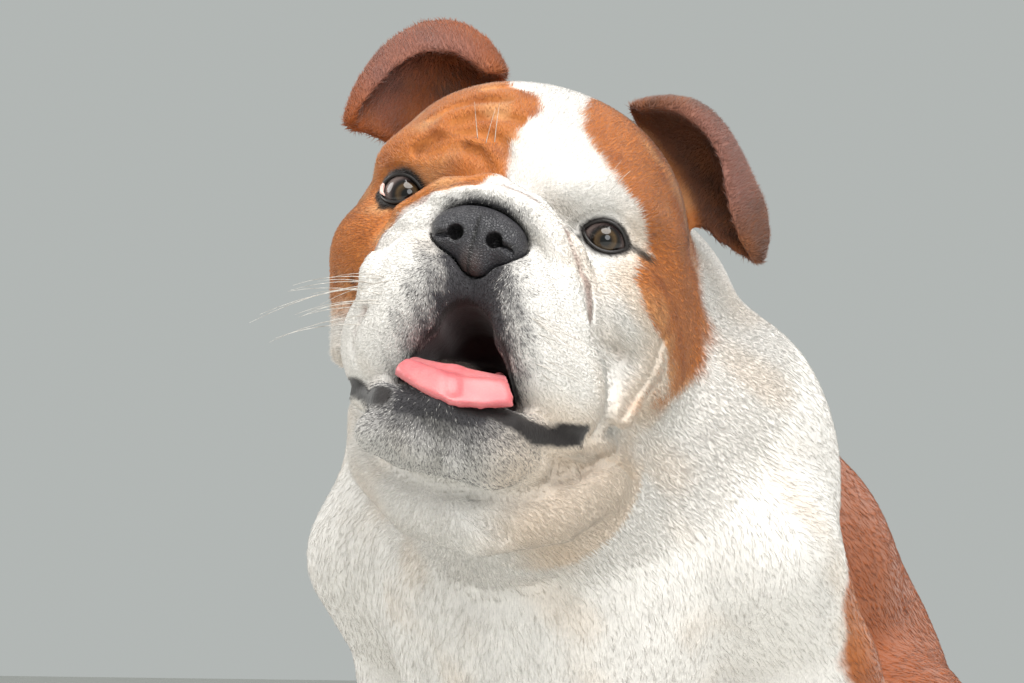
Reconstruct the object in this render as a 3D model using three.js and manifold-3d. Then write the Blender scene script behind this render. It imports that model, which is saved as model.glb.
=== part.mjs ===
// An English bulldog, life size, sitting with its head tilted and turned to its left, mouth open.
// Millimetres. +Z is up, the dog faces -Y and its left side is +X. The floor is z = 0.
// Flesh is a blend of rounded forms: balls with three radii, and limbs that follow a line of points.
// The blended surface is meshed on a grid and parted into sub-parts by flat cuts.
import * as THREE from "three";
import { mergeVertices } from "three/addons/utils/BufferGeometryUtils.js";
import Module from "manifold-3d";

const wasm = await Module();
wasm.setup();

// Driving sizes
const GAP = 0.3; // between sub-parts that touch
const EYE_SPAN = 109; // between the centres of the pupils
const EYE_RADIUS = 12.5;
const HEAD_AT = [14, -150, 435]; // the point midway between the eyes
const HEAD_TURN = [-15, 13, 13]; // degrees: nose up, crown to the left, face to the left
const LOWER_FACE_SAG = 0.13; // how far the loose lower face hangs to the low side, for each mm down
const BODY_CENTRE = [0, 43.8]; // moved to the frame's origin
const EAR_THICKNESS = 4.5;

// Of each part of the flesh: the grid step it is meshed with, and how far thinning may move its surface
const SKULL = [6.5, 5.5];
const MUZZLE = [5, 3.2];
const LOWER_JAW = [5, 3.6];
const NOSE_TIP = [2.8, 2.2];
const PAW = [5.5, 4.5];
const LIMB = [9, 6.5];
const NECK = [10, 7];
const TRUNK_FLESH = [12, 8];
const TAIL_FLESH = [5, 3.5];

// Forms

const radians = (degrees) => (degrees * Math.PI) / 180;

function turnMatrix(turn) {
  const euler = new THREE.Euler(...turn.map(radians), "ZXY");
  return new THREE.Matrix4().makeRotationFromEuler(euler);
}

// A rounded ball: its centre, its three radii, how widely it blends, and its turn in degrees.
function ball(at, radii, blend, turn = [0, 0, 0]) {
  const inverse = new THREE.Matrix3().setFromMatrix4(turnMatrix(turn)).transpose();
  const q = new THREE.Vector3();
  const distance = (p) => {
    q.set(p.x - at[0], p.y - at[1], p.z - at[2]).applyMatrix3(inverse);
    const x = q.x / radii[0];
    const y = q.y / radii[1];
    const z = q.z / radii[2];
    const near = Math.hypot(x, y, z);
    const slope = Math.hypot(x / radii[0], y / radii[1], z / radii[2]);
    return slope < 1e-9 ? -Math.min(...radii) : (near * (near - 1)) / slope;
  };
  return { distance, blend };
}

// A limb or fold: points along its middle, and its radius at each of them.
function limb(points, radii, blend) {
  const ends = points.map((p) => new THREE.Vector3(...p));
  const toPoint = new THREE.Vector3();
  const along = new THREE.Vector3();
  const distance = (p) => {
    let nearest = Infinity;
    for (let i = 0; i + 1 < ends.length; i++) {
      along.subVectors(ends[i + 1], ends[i]);
      toPoint.subVectors(p, ends[i]);
      const share = THREE.MathUtils.clamp(toPoint.dot(along) / along.lengthSq(), 0, 1);
      const away = toPoint.addScaledVector(along, -share).length();
      nearest = Math.min(nearest, away - THREE.MathUtils.lerp(radii[i], radii[i + 1], share));
    }
    return nearest;
  };
  return { distance, blend };
}

const carve = (form) => ({ ...form, carved: true });

// The same form on the other side of the body.
const mirror = (form) => {
  const q = new THREE.Vector3();
  return { ...form, distance: (p) => form.distance(q.set(-p.x, p.y, p.z)) };
};

const both = (...forms) => forms.flatMap((form) => [form, mirror(form)]);

function smoothMin(a, b, width) {
  const share = Math.max(width - Math.abs(a - b), 0) / width;
  return Math.min(a, b) - (share * share * width) / 4;
}

// The signed distance to the forms blended in order, negative inside.
function blended(forms) {
  return (p) => {
    let value = Infinity;
    for (const { distance, blend, carved } of forms) {
      const d = distance(p);
      value = carved ? -smoothMin(-value, d, blend) : smoothMin(value, d, blend);
    }
    return value;
  };
}

// Head forms, in the head's own frame: midway between the eyes, +X to its left, +Y backwards

const UPPER_HEAD = [
  ball([0, 60, 18], [84, 74, 62], 20),
  ball([0, 40, 36], [66, 50, 44], 24),
  ...both(
    ball([62, 54, -38], [36, 52, 52], 30),
    ball([42, 12, 22], [34, 24, 20], 18, [0, 12, 0]),
    ball([62, 18, -34], [30, 30, 28], 16),
  ),
  ball([0, 6, -44], [54, 44, 42], 22),
  ...both(
    ball([32, -24, -62], [25, 28, 40], 12, [0, -16, 0]),
    ball([47, -8, -86], [25, 33, 32], 12),
    limb(
      [[70, 14, -24], [80, 22, -58], [76, 14, -88]],
      [9, 11, 8],
      8,
    ),
    limb(
      [[0, -27, -1], [22, -25, -5], [42, -18, -20], [52, -12, -42], [55, -4, -70]],
      [12, 12, 12, 11, 8],
      7,
    ),
  ),
];

const MOUTH = [
  carve(limb([[0, -48, -72], [0, -30, -74], [0, 10, -78]], [13, 13, 14], 5)),
  carve(limb([[0, -56, -98], [0, -30, -100], [0, 20, -100]], [25, 25, 27], 5)),
];

const JAW = [
  ball([0, -14, -130], [50, 42, 21], 12),
  ...both(
    ball([22, -36, -134], [21, 20, 19], 9),
    limb([[64, 34, -100], [56, -8, -114], [34, -42, -120], [0, -54, -121]], [8, 8, 8, 8], 9),
  ),
  ball([0, 30, -114], [60, 46, 24], 16),
];

const NOSE = [
  ball([0, -34, -24], [24, 14, 15], 5),
  ball([0, -36, -40], [11, 9, 10], 6),
  ...both(ball([15, -36, -27], [10.5, 11, 11], 4)),
  carve(limb([[0, -50, -14], [0, -49, -30], [0, -46, -52]], [1.2, 1.6, 1.2], 3)),
];

const DEWLAP = [
  limb(
    [[-60, 44, -112], [-50, 22, -140], [-22, 2, -162], [14, -4, -166], [48, 14, -146], [62, 40, -118]],
    [17, 17, 16, 16, 17, 17],
    14,
  ),
  ball([0, 50, -128], [56, 52, 34], 24),
];

// Ears: four lines each, from the crown to the tip: the rim that folds forward, the ridge of the fold,
// the back wall, and the root on the skull or the free lower edge
const LEFT_EAR = [
  [[40, 50, 84], [60, 41, 86], [78, 37, 80], [91, 37, 69], [99, 39, 56], [105, 42, 42], [113, 46, 27], [121, 53, 18]],
  [[33, 60, 88], [50, 53, 94], [68, 49, 95], [84, 49, 89], [98, 51, 76], [110, 55, 61], [123, 58, 43], [126, 57, 18]],
  [[40, 70, 82], [56, 72, 82], [72, 76, 77], [87, 78, 68], [99, 76, 57], [110, 74, 46], [120, 68, 33], [125, 61, 19]],
  [[45, 72, 72], [58, 78, 62], [70, 80, 50], [82, 78, 38], [92, 73, 31], [103, 68, 26], [114, 64, 22], [122, 59, 18]],
];
const RIGHT_EAR = [
  [[-45, 48, 86], [-58, 43, 92], [-70, 40, 92], [-81, 38, 87], [-90, 36, 76], [-97, 35, 63], [-102, 34, 50], [-105, 34, 40]],
  [[-36, 56, 91], [-46, 54, 103], [-63, 53, 112], [-80, 51, 112], [-96, 47, 100], [-105, 42, 82], [-109, 37, 58], [-108, 36, 39]],
  [[-40, 66, 88], [-52, 70, 95], [-66, 72, 98], [-79, 69, 93], [-90, 63, 82], [-98, 56, 68], [-105, 46, 54], [-108, 39, 40]],
  [[-46, 70, 78], [-56, 74, 70], [-67, 74, 60], [-78, 71, 50], [-86, 65, 43], [-92, 57, 40], [-99, 47, 40], [-105, 39, 38]],
];

// The tongue: its left edge, middle and right edge, from the throat to the tip, in the head's frame
const TONGUE = [
  [[-8, 10, -93], [-10, -28, -92], [-13, -46, -98], [-15, -55, -110]],
  [[12, 10, -98], [12, -30, -100], [14, -52, -104], [22, -66, -121]],
  [[30, 10, -93], [34, -28, -91], [42, -44, -97], [51, -53, -113]],
];
const TONGUE_THICKNESS = 5;

// Body forms, in the body's frame

const TRUNK = [
  ball([0, 12, 258], [120, 122, 122], 30),
  ball([0, -58, 240], [94, 62, 88], 34),
  ball([0, -36, 186], [74, 70, 62], 34),
  ball([0, 52, 330], [92, 90, 56], 40),
  limb([[0, 10, 326], [10, -30, 372]], [106, 84], 40),
  limb([[6, -66, 325], [14, -96, 300]], [84, 62], 30),
  ball([0, 142, 240], [118, 106, 104], 50),
  ball([0, 112, 165], [96, 110, 80], 50),
  ball([0, 226, 136], [128, 92, 150], 50),
];

const SHOULDER = [
  ball([93, -8, 296], [48, 64, 86], 26),
  limb([[112, -34, 256], [116, 34, 192]], [43, 34], 22),
];

const FOREARM = [
  limb([[114, 24, 190], [106, -34, 62]], [37, 29], 16),
  limb([[106, -34, 62], [107, -54, 32]], [28, 27], 10),
];

const THIGH = [
  ball([116, 152, 116], [54, 100, 84], 26, [14, 0, 0]),
  ball([134, 70, 140], [38, 42, 48], 22),
  limb([[138, 84, 120], [130, 214, 40]], [34, 25], 16),
  limb([[130, 216, 26], [142, 84, 24]], [26, 23], 12),
];

// A paw: its middle, its length to the toe tips, and its half width.
function paw(at, reach, halfWidth) {
  const toes = [-0.78, -0.28, 0.28, 0.78].map((side) => {
    const back = 16 * side * side;
    const x = at[0] + side * halfWidth;
    const y = at[1] - reach + back;
    return limb([[x * 1, y + 26, 22], [x, y + 6, 17], [x, y, 10]], [11, 11.5, 9.5], 4);
  });
  return [ball(at, [halfWidth * 0.95, reach * 0.8, 22], 10), ...toes];
}

const FORE_PAW = paw([108, -70, 20], 46, 34);
const HIND_PAW = paw([146, 52, 18], 46, 32);

const TAIL = [limb([[0, 292, 92], [6, 316, 88], [16, 324, 76], [20, 318, 66]], [17, 13, 10, 7], 8)];

// Fields

const headMatrix = turnMatrix(HEAD_TURN).setPosition(...HEAD_AT);
const worldToHead = headMatrix.clone().invert();

const headPoint = new THREE.Vector3();

// A field of head forms, for points in the head's frame, with the lower face hanging to the low side.
function sagging(forms) {
  const field = blended(forms);
  return (p) => field(headPoint.set(p.x - LOWER_FACE_SAG * Math.max(0, -p.z), p.y, p.z));
}

const upperHead = sagging(UPPER_HEAD);
const jaw = sagging(JAW);
const nose = sagging(NOSE);
const dewlap = sagging(DEWLAP);
const mouth = sagging([{ distance: () => -1000, blend: 1 }, ...MOUTH]);
const body = blended([
  ...TRUNK,
  ...both(...SHOULDER, ...FOREARM, ...THIGH, ...FORE_PAW, ...HIND_PAW),
]);

const local = new THREE.Vector3();
const world = new THREE.Vector3();

const NECK_BLEND = 16;

// All the flesh but the open jaw, for points in the body's frame.
function flesh(p) {
  local.copy(p).applyMatrix4(worldToHead);
  const head = smoothMin(upperHead(local), dewlap(local), 12);
  return smoothMin(head, body(p), NECK_BLEND);
}

const inHeadFrame = (field) => (p) => field(world.copy(p).applyMatrix4(headMatrix));
const fleshFromHead = inHeadFrame(flesh);
const bodyFromHead = inHeadFrame(body);

// Meshing

const CORNERS = [0, 1, 2, 3, 4, 5, 6, 7].map((c) => [c & 1, (c >> 1) & 1, (c >> 2) & 1]);
const EDGES = CORNERS.flatMap((_, a) =>
  [1, 2, 4].filter((bit) => !(a & bit)).map((bit) => [a, a | bit]),
);
const TOWARDS_SURFACE = 4; // steps that bring each vertex onto the surface

// The closed surface where a field is zero, inside a box, with one vertex in each grid cell it crosses.
function blendedGeometry(field, low, high, step) {
  const count = [0, 1, 2].map((k) => Math.ceil((high[k] - low[k]) / step) + 1);
  const [nx, ny, nz] = count;
  const node = (i, j, k) => i + nx * (j + ny * k);
  const values = new Float32Array(nx * ny * nz);
  const p = new THREE.Vector3();
  for (let k = 0; k < nz; k++)
    for (let j = 0; j < ny; j++)
      for (let i = 0; i < nx; i++) {
        p.set(low[0] + i * step, low[1] + j * step, low[2] + k * step);
        const rim = i === 0 || j === 0 || k === 0 || i === nx - 1 || j === ny - 1 || k === nz - 1;
        values[node(i, j, k)] = rim ? Math.max(step, field(p)) : field(p) || 1e-6;
      }
  const positions = [];
  const vertexOf = new Map();
  for (let k = 0; k + 1 < nz; k++)
    for (let j = 0; j + 1 < ny; j++)
      for (let i = 0; i + 1 < nx; i++) {
        const at = CORNERS.map(([a, b, c]) => values[node(i + a, j + b, k + c)]);
        if (at.every((v) => v < 0) || at.every((v) => v >= 0)) continue;
        p.set(0, 0, 0);
        let crossings = 0;
        for (const [a, b] of EDGES) {
          if (at[a] < 0 === at[b] < 0) continue;
          const share = at[a] / (at[a] - at[b]);
          p.x += CORNERS[a][0] + share * (CORNERS[b][0] - CORNERS[a][0]);
          p.y += CORNERS[a][1] + share * (CORNERS[b][1] - CORNERS[a][1]);
          p.z += CORNERS[a][2] + share * (CORNERS[b][2] - CORNERS[a][2]);
          crossings++;
        }
        p.divideScalar(crossings);
        const cell = new THREE.Vector3(low[0] + i * step, low[1] + j * step, low[2] + k * step);
        p.multiplyScalar(step).add(cell);
        settle(p, field, cell, step);
        vertexOf.set(node(i, j, k), positions.length / 3);
        positions.push(p.x, p.y, p.z);
      }
  const faces = [];
  const across = [node(1, 0, 0), node(0, 1, 0), node(0, 0, 1)];
  for (const start of vertexOf.keys())
    for (let axis = 0; axis < 3; axis++) {
      const [b, c] = [across[(axis + 1) % 3], across[(axis + 2) % 3]];
      const inside = values[start] < 0;
      if (inside === values[start + across[axis]] < 0) continue;
      const ring = [start, start - b, start - b - c, start - c].map((n) => vertexOf.get(n));
      if (ring.includes(undefined)) continue;
      if (!inside) ring.reverse();
      faces.push(...splitQuad(ring, positions));
    }
  const geometry = new THREE.BufferGeometry();
  geometry.setAttribute("position", new THREE.Float32BufferAttribute(positions, 3));
  geometry.setIndex(faces);
  return geometry;
}

// Moves a vertex onto the surface without leaving its cell.
function settle(p, field, cell, step) {
  const near = cell.clone().addScalar(step * 0.04);
  const far = cell.clone().addScalar(step * 0.96);
  const probe = new THREE.Vector3();
  const nudge = step * 0.05;
  for (let n = 0; n < TOWARDS_SURFACE; n++) {
    const here = field(p);
    const slope = new THREE.Vector3(
      field(probe.set(p.x + nudge, p.y, p.z)) - here,
      field(probe.set(p.x, p.y + nudge, p.z)) - here,
      field(probe.set(p.x, p.y, p.z + nudge)) - here,
    ).divideScalar(nudge);
    const steepness = slope.lengthSq();
    if (!(steepness > 1e-4)) return;
    p.addScaledVector(slope, -here / steepness).clamp(near, far);
  }
}

// Two triangles for a ring of four vertices, split along its shorter diagonal.
function splitQuad([a, b, c, d], positions) {
  const apart = (m, n) =>
    Math.hypot(...[0, 1, 2].map((k) => positions[3 * m + k] - positions[3 * n + k]));
  return apart(a, c) < apart(b, d) ? [a, b, c, a, c, d] : [a, b, d, b, c, d];
}

// Thinning: merges the ends of an edge where that hardly moves the surface. Each vertex keeps the sum
// of its faces' planes, and a merged vertex goes where its distance to them all is least.

function thinned(geometry, tolerance) {
  const { position } = geometry.attributes;
  const points = Array.from({ length: position.count }, (_, i) => new THREE.Vector3().fromBufferAttribute(position, i));
  const faces = [];
  const around = points.map(() => new Set());
  const planes = points.map(() => new Float64Array(10));
  for (let i = 0; i < geometry.index.count; i += 3) {
    const face = [0, 1, 2].map((k) => geometry.index.getX(i + k));
    const [a, b, c] = face.map((v) => points[v]);
    const n = b.clone().sub(a).cross(c.clone().sub(a)).normalize();
    const d = -n.dot(a);
    const { x, y, z } = n;
    const terms = [x * x, x * y, x * z, y * y, y * z, z * z, x * d, y * d, z * d, d * d];
    for (const v of face) terms.forEach((term, k) => (planes[v][k] += term));
    for (const v of face) around[v].add(faces.length);
    faces.push(face);
  }
  const cost = (q, { x, y, z }) =>
    q[0] * x * x + q[3] * y * y + q[5] * z * z + q[9] +
    2 * (q[1] * x * y + q[2] * x * z + q[4] * y * z + q[6] * x + q[7] * y + q[8] * z);
  const matrix = new THREE.Matrix3();
  const merged = (a, b) => {
    const q = planes[a].map((v, k) => v + planes[b][k]);
    const middle = points[a].clone().add(points[b]).multiplyScalar(0.5);
    const pull = 0.003 * (q[0] + q[3] + q[5]);
    matrix.set(q[0] + pull, q[1], q[2], q[1], q[3] + pull, q[4], q[2], q[4], q[5] + pull).invert();
    const at = new THREE.Vector3(pull * middle.x - q[6], pull * middle.y - q[7], pull * middle.z - q[8]);
    return { q, at: at.applyMatrix3(matrix) };
  };
  const neighbours = (v) => new Set([...around[v]].flatMap((f) => faces[f]).filter((w) => w !== v));
  const shapeOf = ([p, q, r]) => {
    const normal = q.clone().sub(p).cross(r.clone().sub(p));
    const longest = Math.max(p.distanceToSquared(q), q.distanceToSquared(r), r.distanceToSquared(p));
    return { normal, slim: normal.length() / longest };
  };
  const turns = (v, other, at) => {
    for (const f of around[v]) {
      if (faces[f].includes(other)) continue;
      const before = shapeOf(faces[f].map((w) => points[w]));
      const after = shapeOf(faces[f].map((w) => (w === v ? at : points[w])));
      const sizes = after.normal.length() * before.normal.length();
      if (before.slim > 0.01 && after.normal.dot(before.normal) < 0.3 * sizes) return true;
      if (after.slim < 0.12 && after.slim < before.slim) return true;
    }
    return false;
  };
  const stamp = points.map(() => 0);
  const queue = [];
  const add = (a, b) => {
    const { q, at } = merged(a, b);
    const error = cost(q, at) + 1e-4 * points[a].distanceToSquared(points[b]) * tolerance * tolerance;
    if (error < tolerance * tolerance) queue.push({ error, a, b, at, q, when: stamp[a] + stamp[b] });
  };
  for (let round = 0; round < 40; round++) {
    queue.length = 0;
    points.forEach((_, a) => neighbours(a).forEach((b) => b > a && add(a, b)));
    queue.sort((m, n) => m.error - n.error);
    let count = 0;
    for (const { a, b, at, q, when } of queue) {
      if (stamp[a] + stamp[b] !== when || !around[a].size || !around[b].size) continue;
      const shared = [...neighbours(a)].filter((v) => neighbours(b).has(v));
      if (shared.length !== 2 || turns(a, b, at) || turns(b, a, at)) continue;
      for (const f of around[b]) {
        if (faces[f].includes(a)) {
          for (const v of faces[f]) if (v !== b) around[v].delete(f);
          faces[f] = null;
        } else {
          faces[f][faces[f].indexOf(b)] = a;
          around[a].add(f);
        }
      }
      around[b] = new Set();
      points[a] = at;
      planes[a] = q;
      for (const v of neighbours(a)) stamp[v] += 1000;
      stamp[a] += 1000;
      count++;
    }
    if (!count) break;
  }
  const kept = points.map((_, v) => v).filter((v) => around[v].size);
  const place = new Map(kept.map((v, i) => [v, i]));
  const result = new THREE.BufferGeometry();
  result.setAttribute("position", new THREE.Float32BufferAttribute(kept.flatMap((v) => points[v].toArray()), 3));
  result.setIndex(faces.filter(Boolean).flat().map((v) => place.get(v)));
  return result;
}

// Joining and cutting

function solidOf(geometry) {
  const bare = geometry.clone();
  bare.deleteAttribute("normal");
  bare.deleteAttribute("uv");
  const merged = mergeVertices(bare, 1e-3);
  return new wasm.Manifold(
    new wasm.Mesh({
      numProp: 3,
      vertProperties: new Float32Array(merged.attributes.position.array),
      triVerts: new Uint32Array(merged.index.array),
    }),
  );
}

function geometryOf(solid) {
  const mesh = solid.getMesh();
  const geometry = new THREE.BufferGeometry();
  geometry.setAttribute("position", new THREE.BufferAttribute(mesh.vertProperties, 3));
  geometry.setIndex(new THREE.BufferAttribute(mesh.triVerts, 1));
  geometry.computeVertexNormals();
  return geometry;
}

function largest(solid) {
  const bodies = solid.decompose();
  return bodies.reduce((best, one) => (one.volume() > best.volume() ? one : best));
}

const net = (field, low, high, [step, tolerance]) =>
  solidOf(thinned(blendedGeometry(field, low, high, step), tolerance));

// The room a solid needs: its surface moved outwards by a little more than the gap.
function roomOf(solid) {
  const geometry = geometryOf(solid);
  const { position, normal } = geometry.attributes;
  for (let i = 0; i < position.count; i++)
    position.setXYZ(
      i,
      position.getX(i) + normal.getX(i) * GAP * 1.5,
      position.getY(i) + normal.getY(i) * GAP * 1.5,
      position.getZ(i) + normal.getZ(i) * GAP * 1.5,
    );
  return solidOf(geometry);
}

// A prism across the body: an outline in the Y-Z plane, from one x to another.
function sidePrism(outline, from, to) {
  const shape = new THREE.Shape(outline.map(([y, z]) => new THREE.Vector2(y, z)));
  const geometry = new THREE.ExtrudeGeometry(shape, { depth: to - from, bevelEnabled: false });
  geometry.translate(0, 0, from);
  geometry.applyMatrix4(new THREE.Matrix4().set(0, 0, 1, 0, 1, 0, 0, 0, 0, 1, 0, 0, 0, 0, 0, 1));
  return solidOf(geometry);
}

// Shrinks an outline, so that two regions sharing an edge keep a gap. A negative distance grows it.
function inset(outline, distance) {
  const corners = outline.map(([y, z]) => new THREE.Vector2(y, z));
  const turn = THREE.ShapeUtils.isClockWise(corners) ? -1 : 1;
  const inward = (a, b) => new THREE.Vector2(a.y - b.y, b.x - a.x).normalize().multiplyScalar(turn);
  return corners.map((corner, i) => {
    const m = inward(corners.at(i - 1), corner);
    const k = inward(corner, corners[(i + 1) % corners.length]);
    const shift = m.clone().add(k).multiplyScalar(distance / (1 + m.dot(k)));
    return [corner.x + shift.x, corner.y + shift.y];
  });
}

// A closed curved sheet through lines that run its length, as thick as asked.
function sheetGeometry(lines, thickness, lengthSteps, widthSteps) {
  const curves = lines.map((line) => new THREE.CatmullRomCurve3(line.map((p) => new THREE.Vector3(...p))));
  const pointAt = (along, across) => {
    const section = new THREE.CatmullRomCurve3(curves.map((curve) => curve.getPoint(along)));
    return section.getPoint(across);
  };
  const normalAt = (along, across) => {
    const [a, b] = [Math.max(along - 0.02, 0), Math.min(along + 0.02, 1)];
    const [c, d] = [Math.max(across - 0.02, 0), Math.min(across + 0.02, 1)];
    const lengthways = pointAt(b, across).sub(pointAt(a, across));
    return lengthways.cross(pointAt(along, d).sub(pointAt(along, c))).normalize();
  };
  const ring = 2 * (widthSteps + 1);
  const positions = [];
  for (let i = 0; i <= lengthSteps; i++)
    for (let j = 0; j < ring; j++) {
      const outside = j <= widthSteps;
      const across = (outside ? j : ring - 1 - j) / widthSteps;
      const edge = 1 - Math.pow(Math.abs(2 * across - 1), 8) * 0.45;
      const offset = ((outside ? 1 : -1) * thickness * edge) / 2;
      const p = pointAt(i / lengthSteps, across);
      positions.push(...p.addScaledVector(normalAt(i / lengthSteps, across), offset));
    }
  const faces = [];
  for (let i = 0; i < lengthSteps; i++)
    for (let j = 0; j < ring; j++) {
      const [a, b] = [i * ring + j, i * ring + ((j + 1) % ring)];
      faces.push(a, b, b + ring, a, b + ring, a + ring);
    }
  for (const [start, flip] of [[0, true], [lengthSteps * ring, false]])
    for (let j = 0; j < widthSteps; j++) {
      const quad = [start + j, start + j + 1, start + ring - 2 - j, start + ring - 1 - j];
      if (flip) quad.reverse();
      faces.push(quad[0], quad[1], quad[2], quad[0], quad[2], quad[3]);
    }
  if (enclosed(positions, faces) < 0) faces.reverse();
  const geometry = new THREE.BufferGeometry();
  geometry.setAttribute("position", new THREE.Float32BufferAttribute(positions, 3));
  geometry.setIndex(faces);
  return geometry;
}

// The volume inside a mesh, negative when its faces point inwards
function enclosed(positions, faces) {
  const corner = (n) => new THREE.Vector3().fromArray(positions, 3 * n);
  let volume = 0;
  for (let i = 0; i < faces.length; i += 3) {
    const [a, b, c] = [0, 1, 2].map((k) => corner(faces[i + k]));
    volume += a.dot(b.cross(c)) / 6;
  }
  return volume;
}

// Regions, as outlines in the Y-Z plane: of the head in its own frame, and of the body

const HEAD_BOX = [[-135, -80, -160], [140, 165, 125]];
const HEAD_OUTLINE = [[-120, 160], [150, 160], [128, 20], [66, -104], [30, -104], [30, -125], [-120, -140]];
const MUZZLE_OUTLINE = [[-120, 16], [-13, 16], [-13, -14], [14, -24], [30, -60], [30, -125], [-120, -140]];
const NECK_OUTLINE = [[-300, 120], [130, 462], [130, 700], [-300, 700]];
const CHEST_OUTLINE = [[-300, -60], [110, -60], [110, 446], [-300, 120]];
const HIND_OUTLINE = [[110, -60], [400, -60], [400, 500], [110, 446]];

// Leg segments: an outline, and the x of the flat that parts it from the body
const LEG_REGIONS = {
  upper_foreleg: [[[-150, 305], [92, 305], [92, 230], [60, 176], [-150, 176]], 84],
  forearm: [[[-150, 176], [60, 176], [4, 62], [-150, 62]], 60],
  fore_paw: [[[-150, 62], [4, 62], [-14, 50], [-18, -60], [-150, -60]], 56],
  thigh: [[[92, 230], [262, 230], [262, 108], [27, 108], [60, 176]], 82],
  shank: [[[27, 108], [262, 108], [262, 54], [0, 54]], 82],
  hock: [[[80, 54], [262, 54], [262, -60], [80, -60]], 82],
  hind_paw: [[[-13, 54], [80, 54], [80, -60], [-17, -60]], 82],
};
const LEG_MESHING = { fore_paw: PAW, hind_paw: PAW };

const FAR = 260;
const floorCut = sidePrism([[-400, 0], [500, 0], [500, 700], [-400, 700]], -FAR, FAR);

// Sub-parts

const matte = { roughness: 0.85, metalness: 0 };
const materials = {
  white: new THREE.MeshStandardMaterial({ color: 0xece7df, ...matte }),
  red: new THREE.MeshStandardMaterial({ color: 0xa85a24, ...matte }),
  brown: new THREE.MeshStandardMaterial({ color: 0x7d4a2c, ...matte }),
  nose: new THREE.MeshStandardMaterial({ color: 0x2b2a2d, roughness: 0.5, metalness: 0 }),
  tongue: new THREE.MeshStandardMaterial({ color: 0xe58c92, roughness: 0.35, metalness: 0 }),
  eye: new THREE.MeshStandardMaterial({ color: 0x2a1a0e, roughness: 0.1, metalness: 0 }),
};

const dog = new THREE.Group();
dog.position.set(...BODY_CENTRE.map((v) => -v), 0);
const headGroup = new THREE.Group();
headGroup.applyMatrix4(headMatrix);
dog.add(headGroup);

const CLEANING = 0.05;

// Moves apart two vertices that lie in one place, where two folds of a surface only just touch.
function unpinched(geometry) {
  geometry.computeVertexNormals();
  const { position, normal } = geometry.attributes;
  const seen = new Set();
  const p = new THREE.Vector3();
  for (let i = 0; i < position.count; i++) {
    p.fromBufferAttribute(position, i);
    const key = p.toArray().map((v) => v.toFixed(2)).join();
    if (seen.has(key)) p.addScaledVector(new THREE.Vector3().fromBufferAttribute(normal, i), -GAP / 2);
    seen.add(key);
    position.setXYZ(i, p.x, p.y, p.z);
  }
  return geometry;
}

function place(name, solid, material, group = dog) {
  const geometry = unpinched(thinned(geometryOf(largest(solid)), CLEANING));
  const mesh = new THREE.Mesh(geometry, materials[material]);
  mesh.name = name;
  group.add(mesh);
}

// The nose, with two nostrils that curl outwards
function nostril(side) {
  const hole = new THREE.SphereGeometry(1, 8, 6);
  hole.scale(5, 9, 4.6);
  hole.translate(side * 10.5 + 3.5, -46, -28);
  const slit = new THREE.SphereGeometry(1, 8, 6);
  slit.scale(7, 8, 1.8);
  slit.rotateY(radians(side * 24));
  slit.translate(side * 17 + 3.5, -46, -31);
  return solidOf(hole).add(solidOf(slit));
}
const noseSolid = largest(net(nose, [-34, -62, -64], [40, -10, 2], NOSE_TIP));

// Eyes, and the lids over them: a shell round each eye, open in front as an almond
const EYES = { eye_left: [56, 6, -2], eye_right: [-54, 6, 0] };
const LID = 2.6;
function eyeBall(at, radius) {
  const geometry = new THREE.SphereGeometry(radius, 14, 10);
  geometry.translate(...at);
  return solidOf(geometry);
}
function almond(at) {
  const side = Math.sign(at[0]);
  const shape = new THREE.Shape();
  shape.moveTo(-11, -side * 1.5);
  shape.quadraticCurveTo(0, -14, 11, side * 1.5);
  shape.quadraticCurveTo(0, 14.5, -11, -side * 1.5);
  const geometry = new THREE.ExtrudeGeometry(shape, { depth: 40, bevelEnabled: false, curveSegments: 6 });
  geometry.rotateX(radians(90));
  geometry.rotateZ(radians(side * 14));
  geometry.translate(at[0], at[1] - 3, at[2]);
  return solidOf(geometry);
}

// The tongue, and the jaw it lies on
const tongue = largest(solidOf(sheetGeometry(TONGUE, TONGUE_THICKNESS, 8, 4)));
const tongueRoom = roomOf(tongue);
const jawSolid = largest(net(jaw, [-90, -80, -170], [110, 100, -60], LOWER_JAW));
const jawRoom = roomOf(jawSolid);

// The upper head, with room for the eyes, nose, jaw and tongue
const headField = (p) => Math.max(fleshFromHead(p), mouth(p));
const headRegion = sidePrism(inset(HEAD_OUTLINE, GAP / 2), -FAR, FAR);
let skull = net(headField, ...HEAD_BOX, SKULL);
for (const at of Object.values(EYES)) skull = skull.add(eyeBall(at, EYE_RADIUS + LID));
for (const at of Object.values(EYES)) skull = skull.subtract(almond(at)).subtract(eyeBall(at, EYE_RADIUS + GAP));
skull = skull.intersect(headRegion).subtract(jawRoom).subtract(tongueRoom);
skull = largest(skull.subtract(sidePrism(inset(MUZZLE_OUTLINE, -GAP / 2), -FAR, FAR)));
let muzzle = net(headField, [-95, -80, -140], [105, 45, 30], MUZZLE);
muzzle = muzzle.intersect(headRegion).intersect(sidePrism(inset(MUZZLE_OUTLINE, GAP / 2), -FAR, FAR));
muzzle = largest(muzzle.subtract(jawRoom).subtract(tongueRoom).subtract(roomOf(noseSolid)));

place("head", skull, "red", headGroup);
place("muzzle", muzzle, "white", headGroup);
place("jaw", jawSolid.subtract(tongueRoom), "white", headGroup);
place("nose", noseSolid.subtract(nostril(1)).subtract(nostril(-1)), "nose", headGroup);
place("tongue", tongue, "tongue", headGroup);
for (const [name, at] of Object.entries(EYES)) place(name, eyeBall(at, EYE_RADIUS), "eye", headGroup);

const skullRoom = roomOf(skull);
for (const [name, lines] of Object.entries({ ear_left: LEFT_EAR, ear_right: RIGHT_EAR })) {
  const sheet = solidOf(sheetGeometry(lines, EAR_THICKNESS, 10, 6));
  place(name, sheet.subtract(skullRoom), "brown", headGroup);
}

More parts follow.
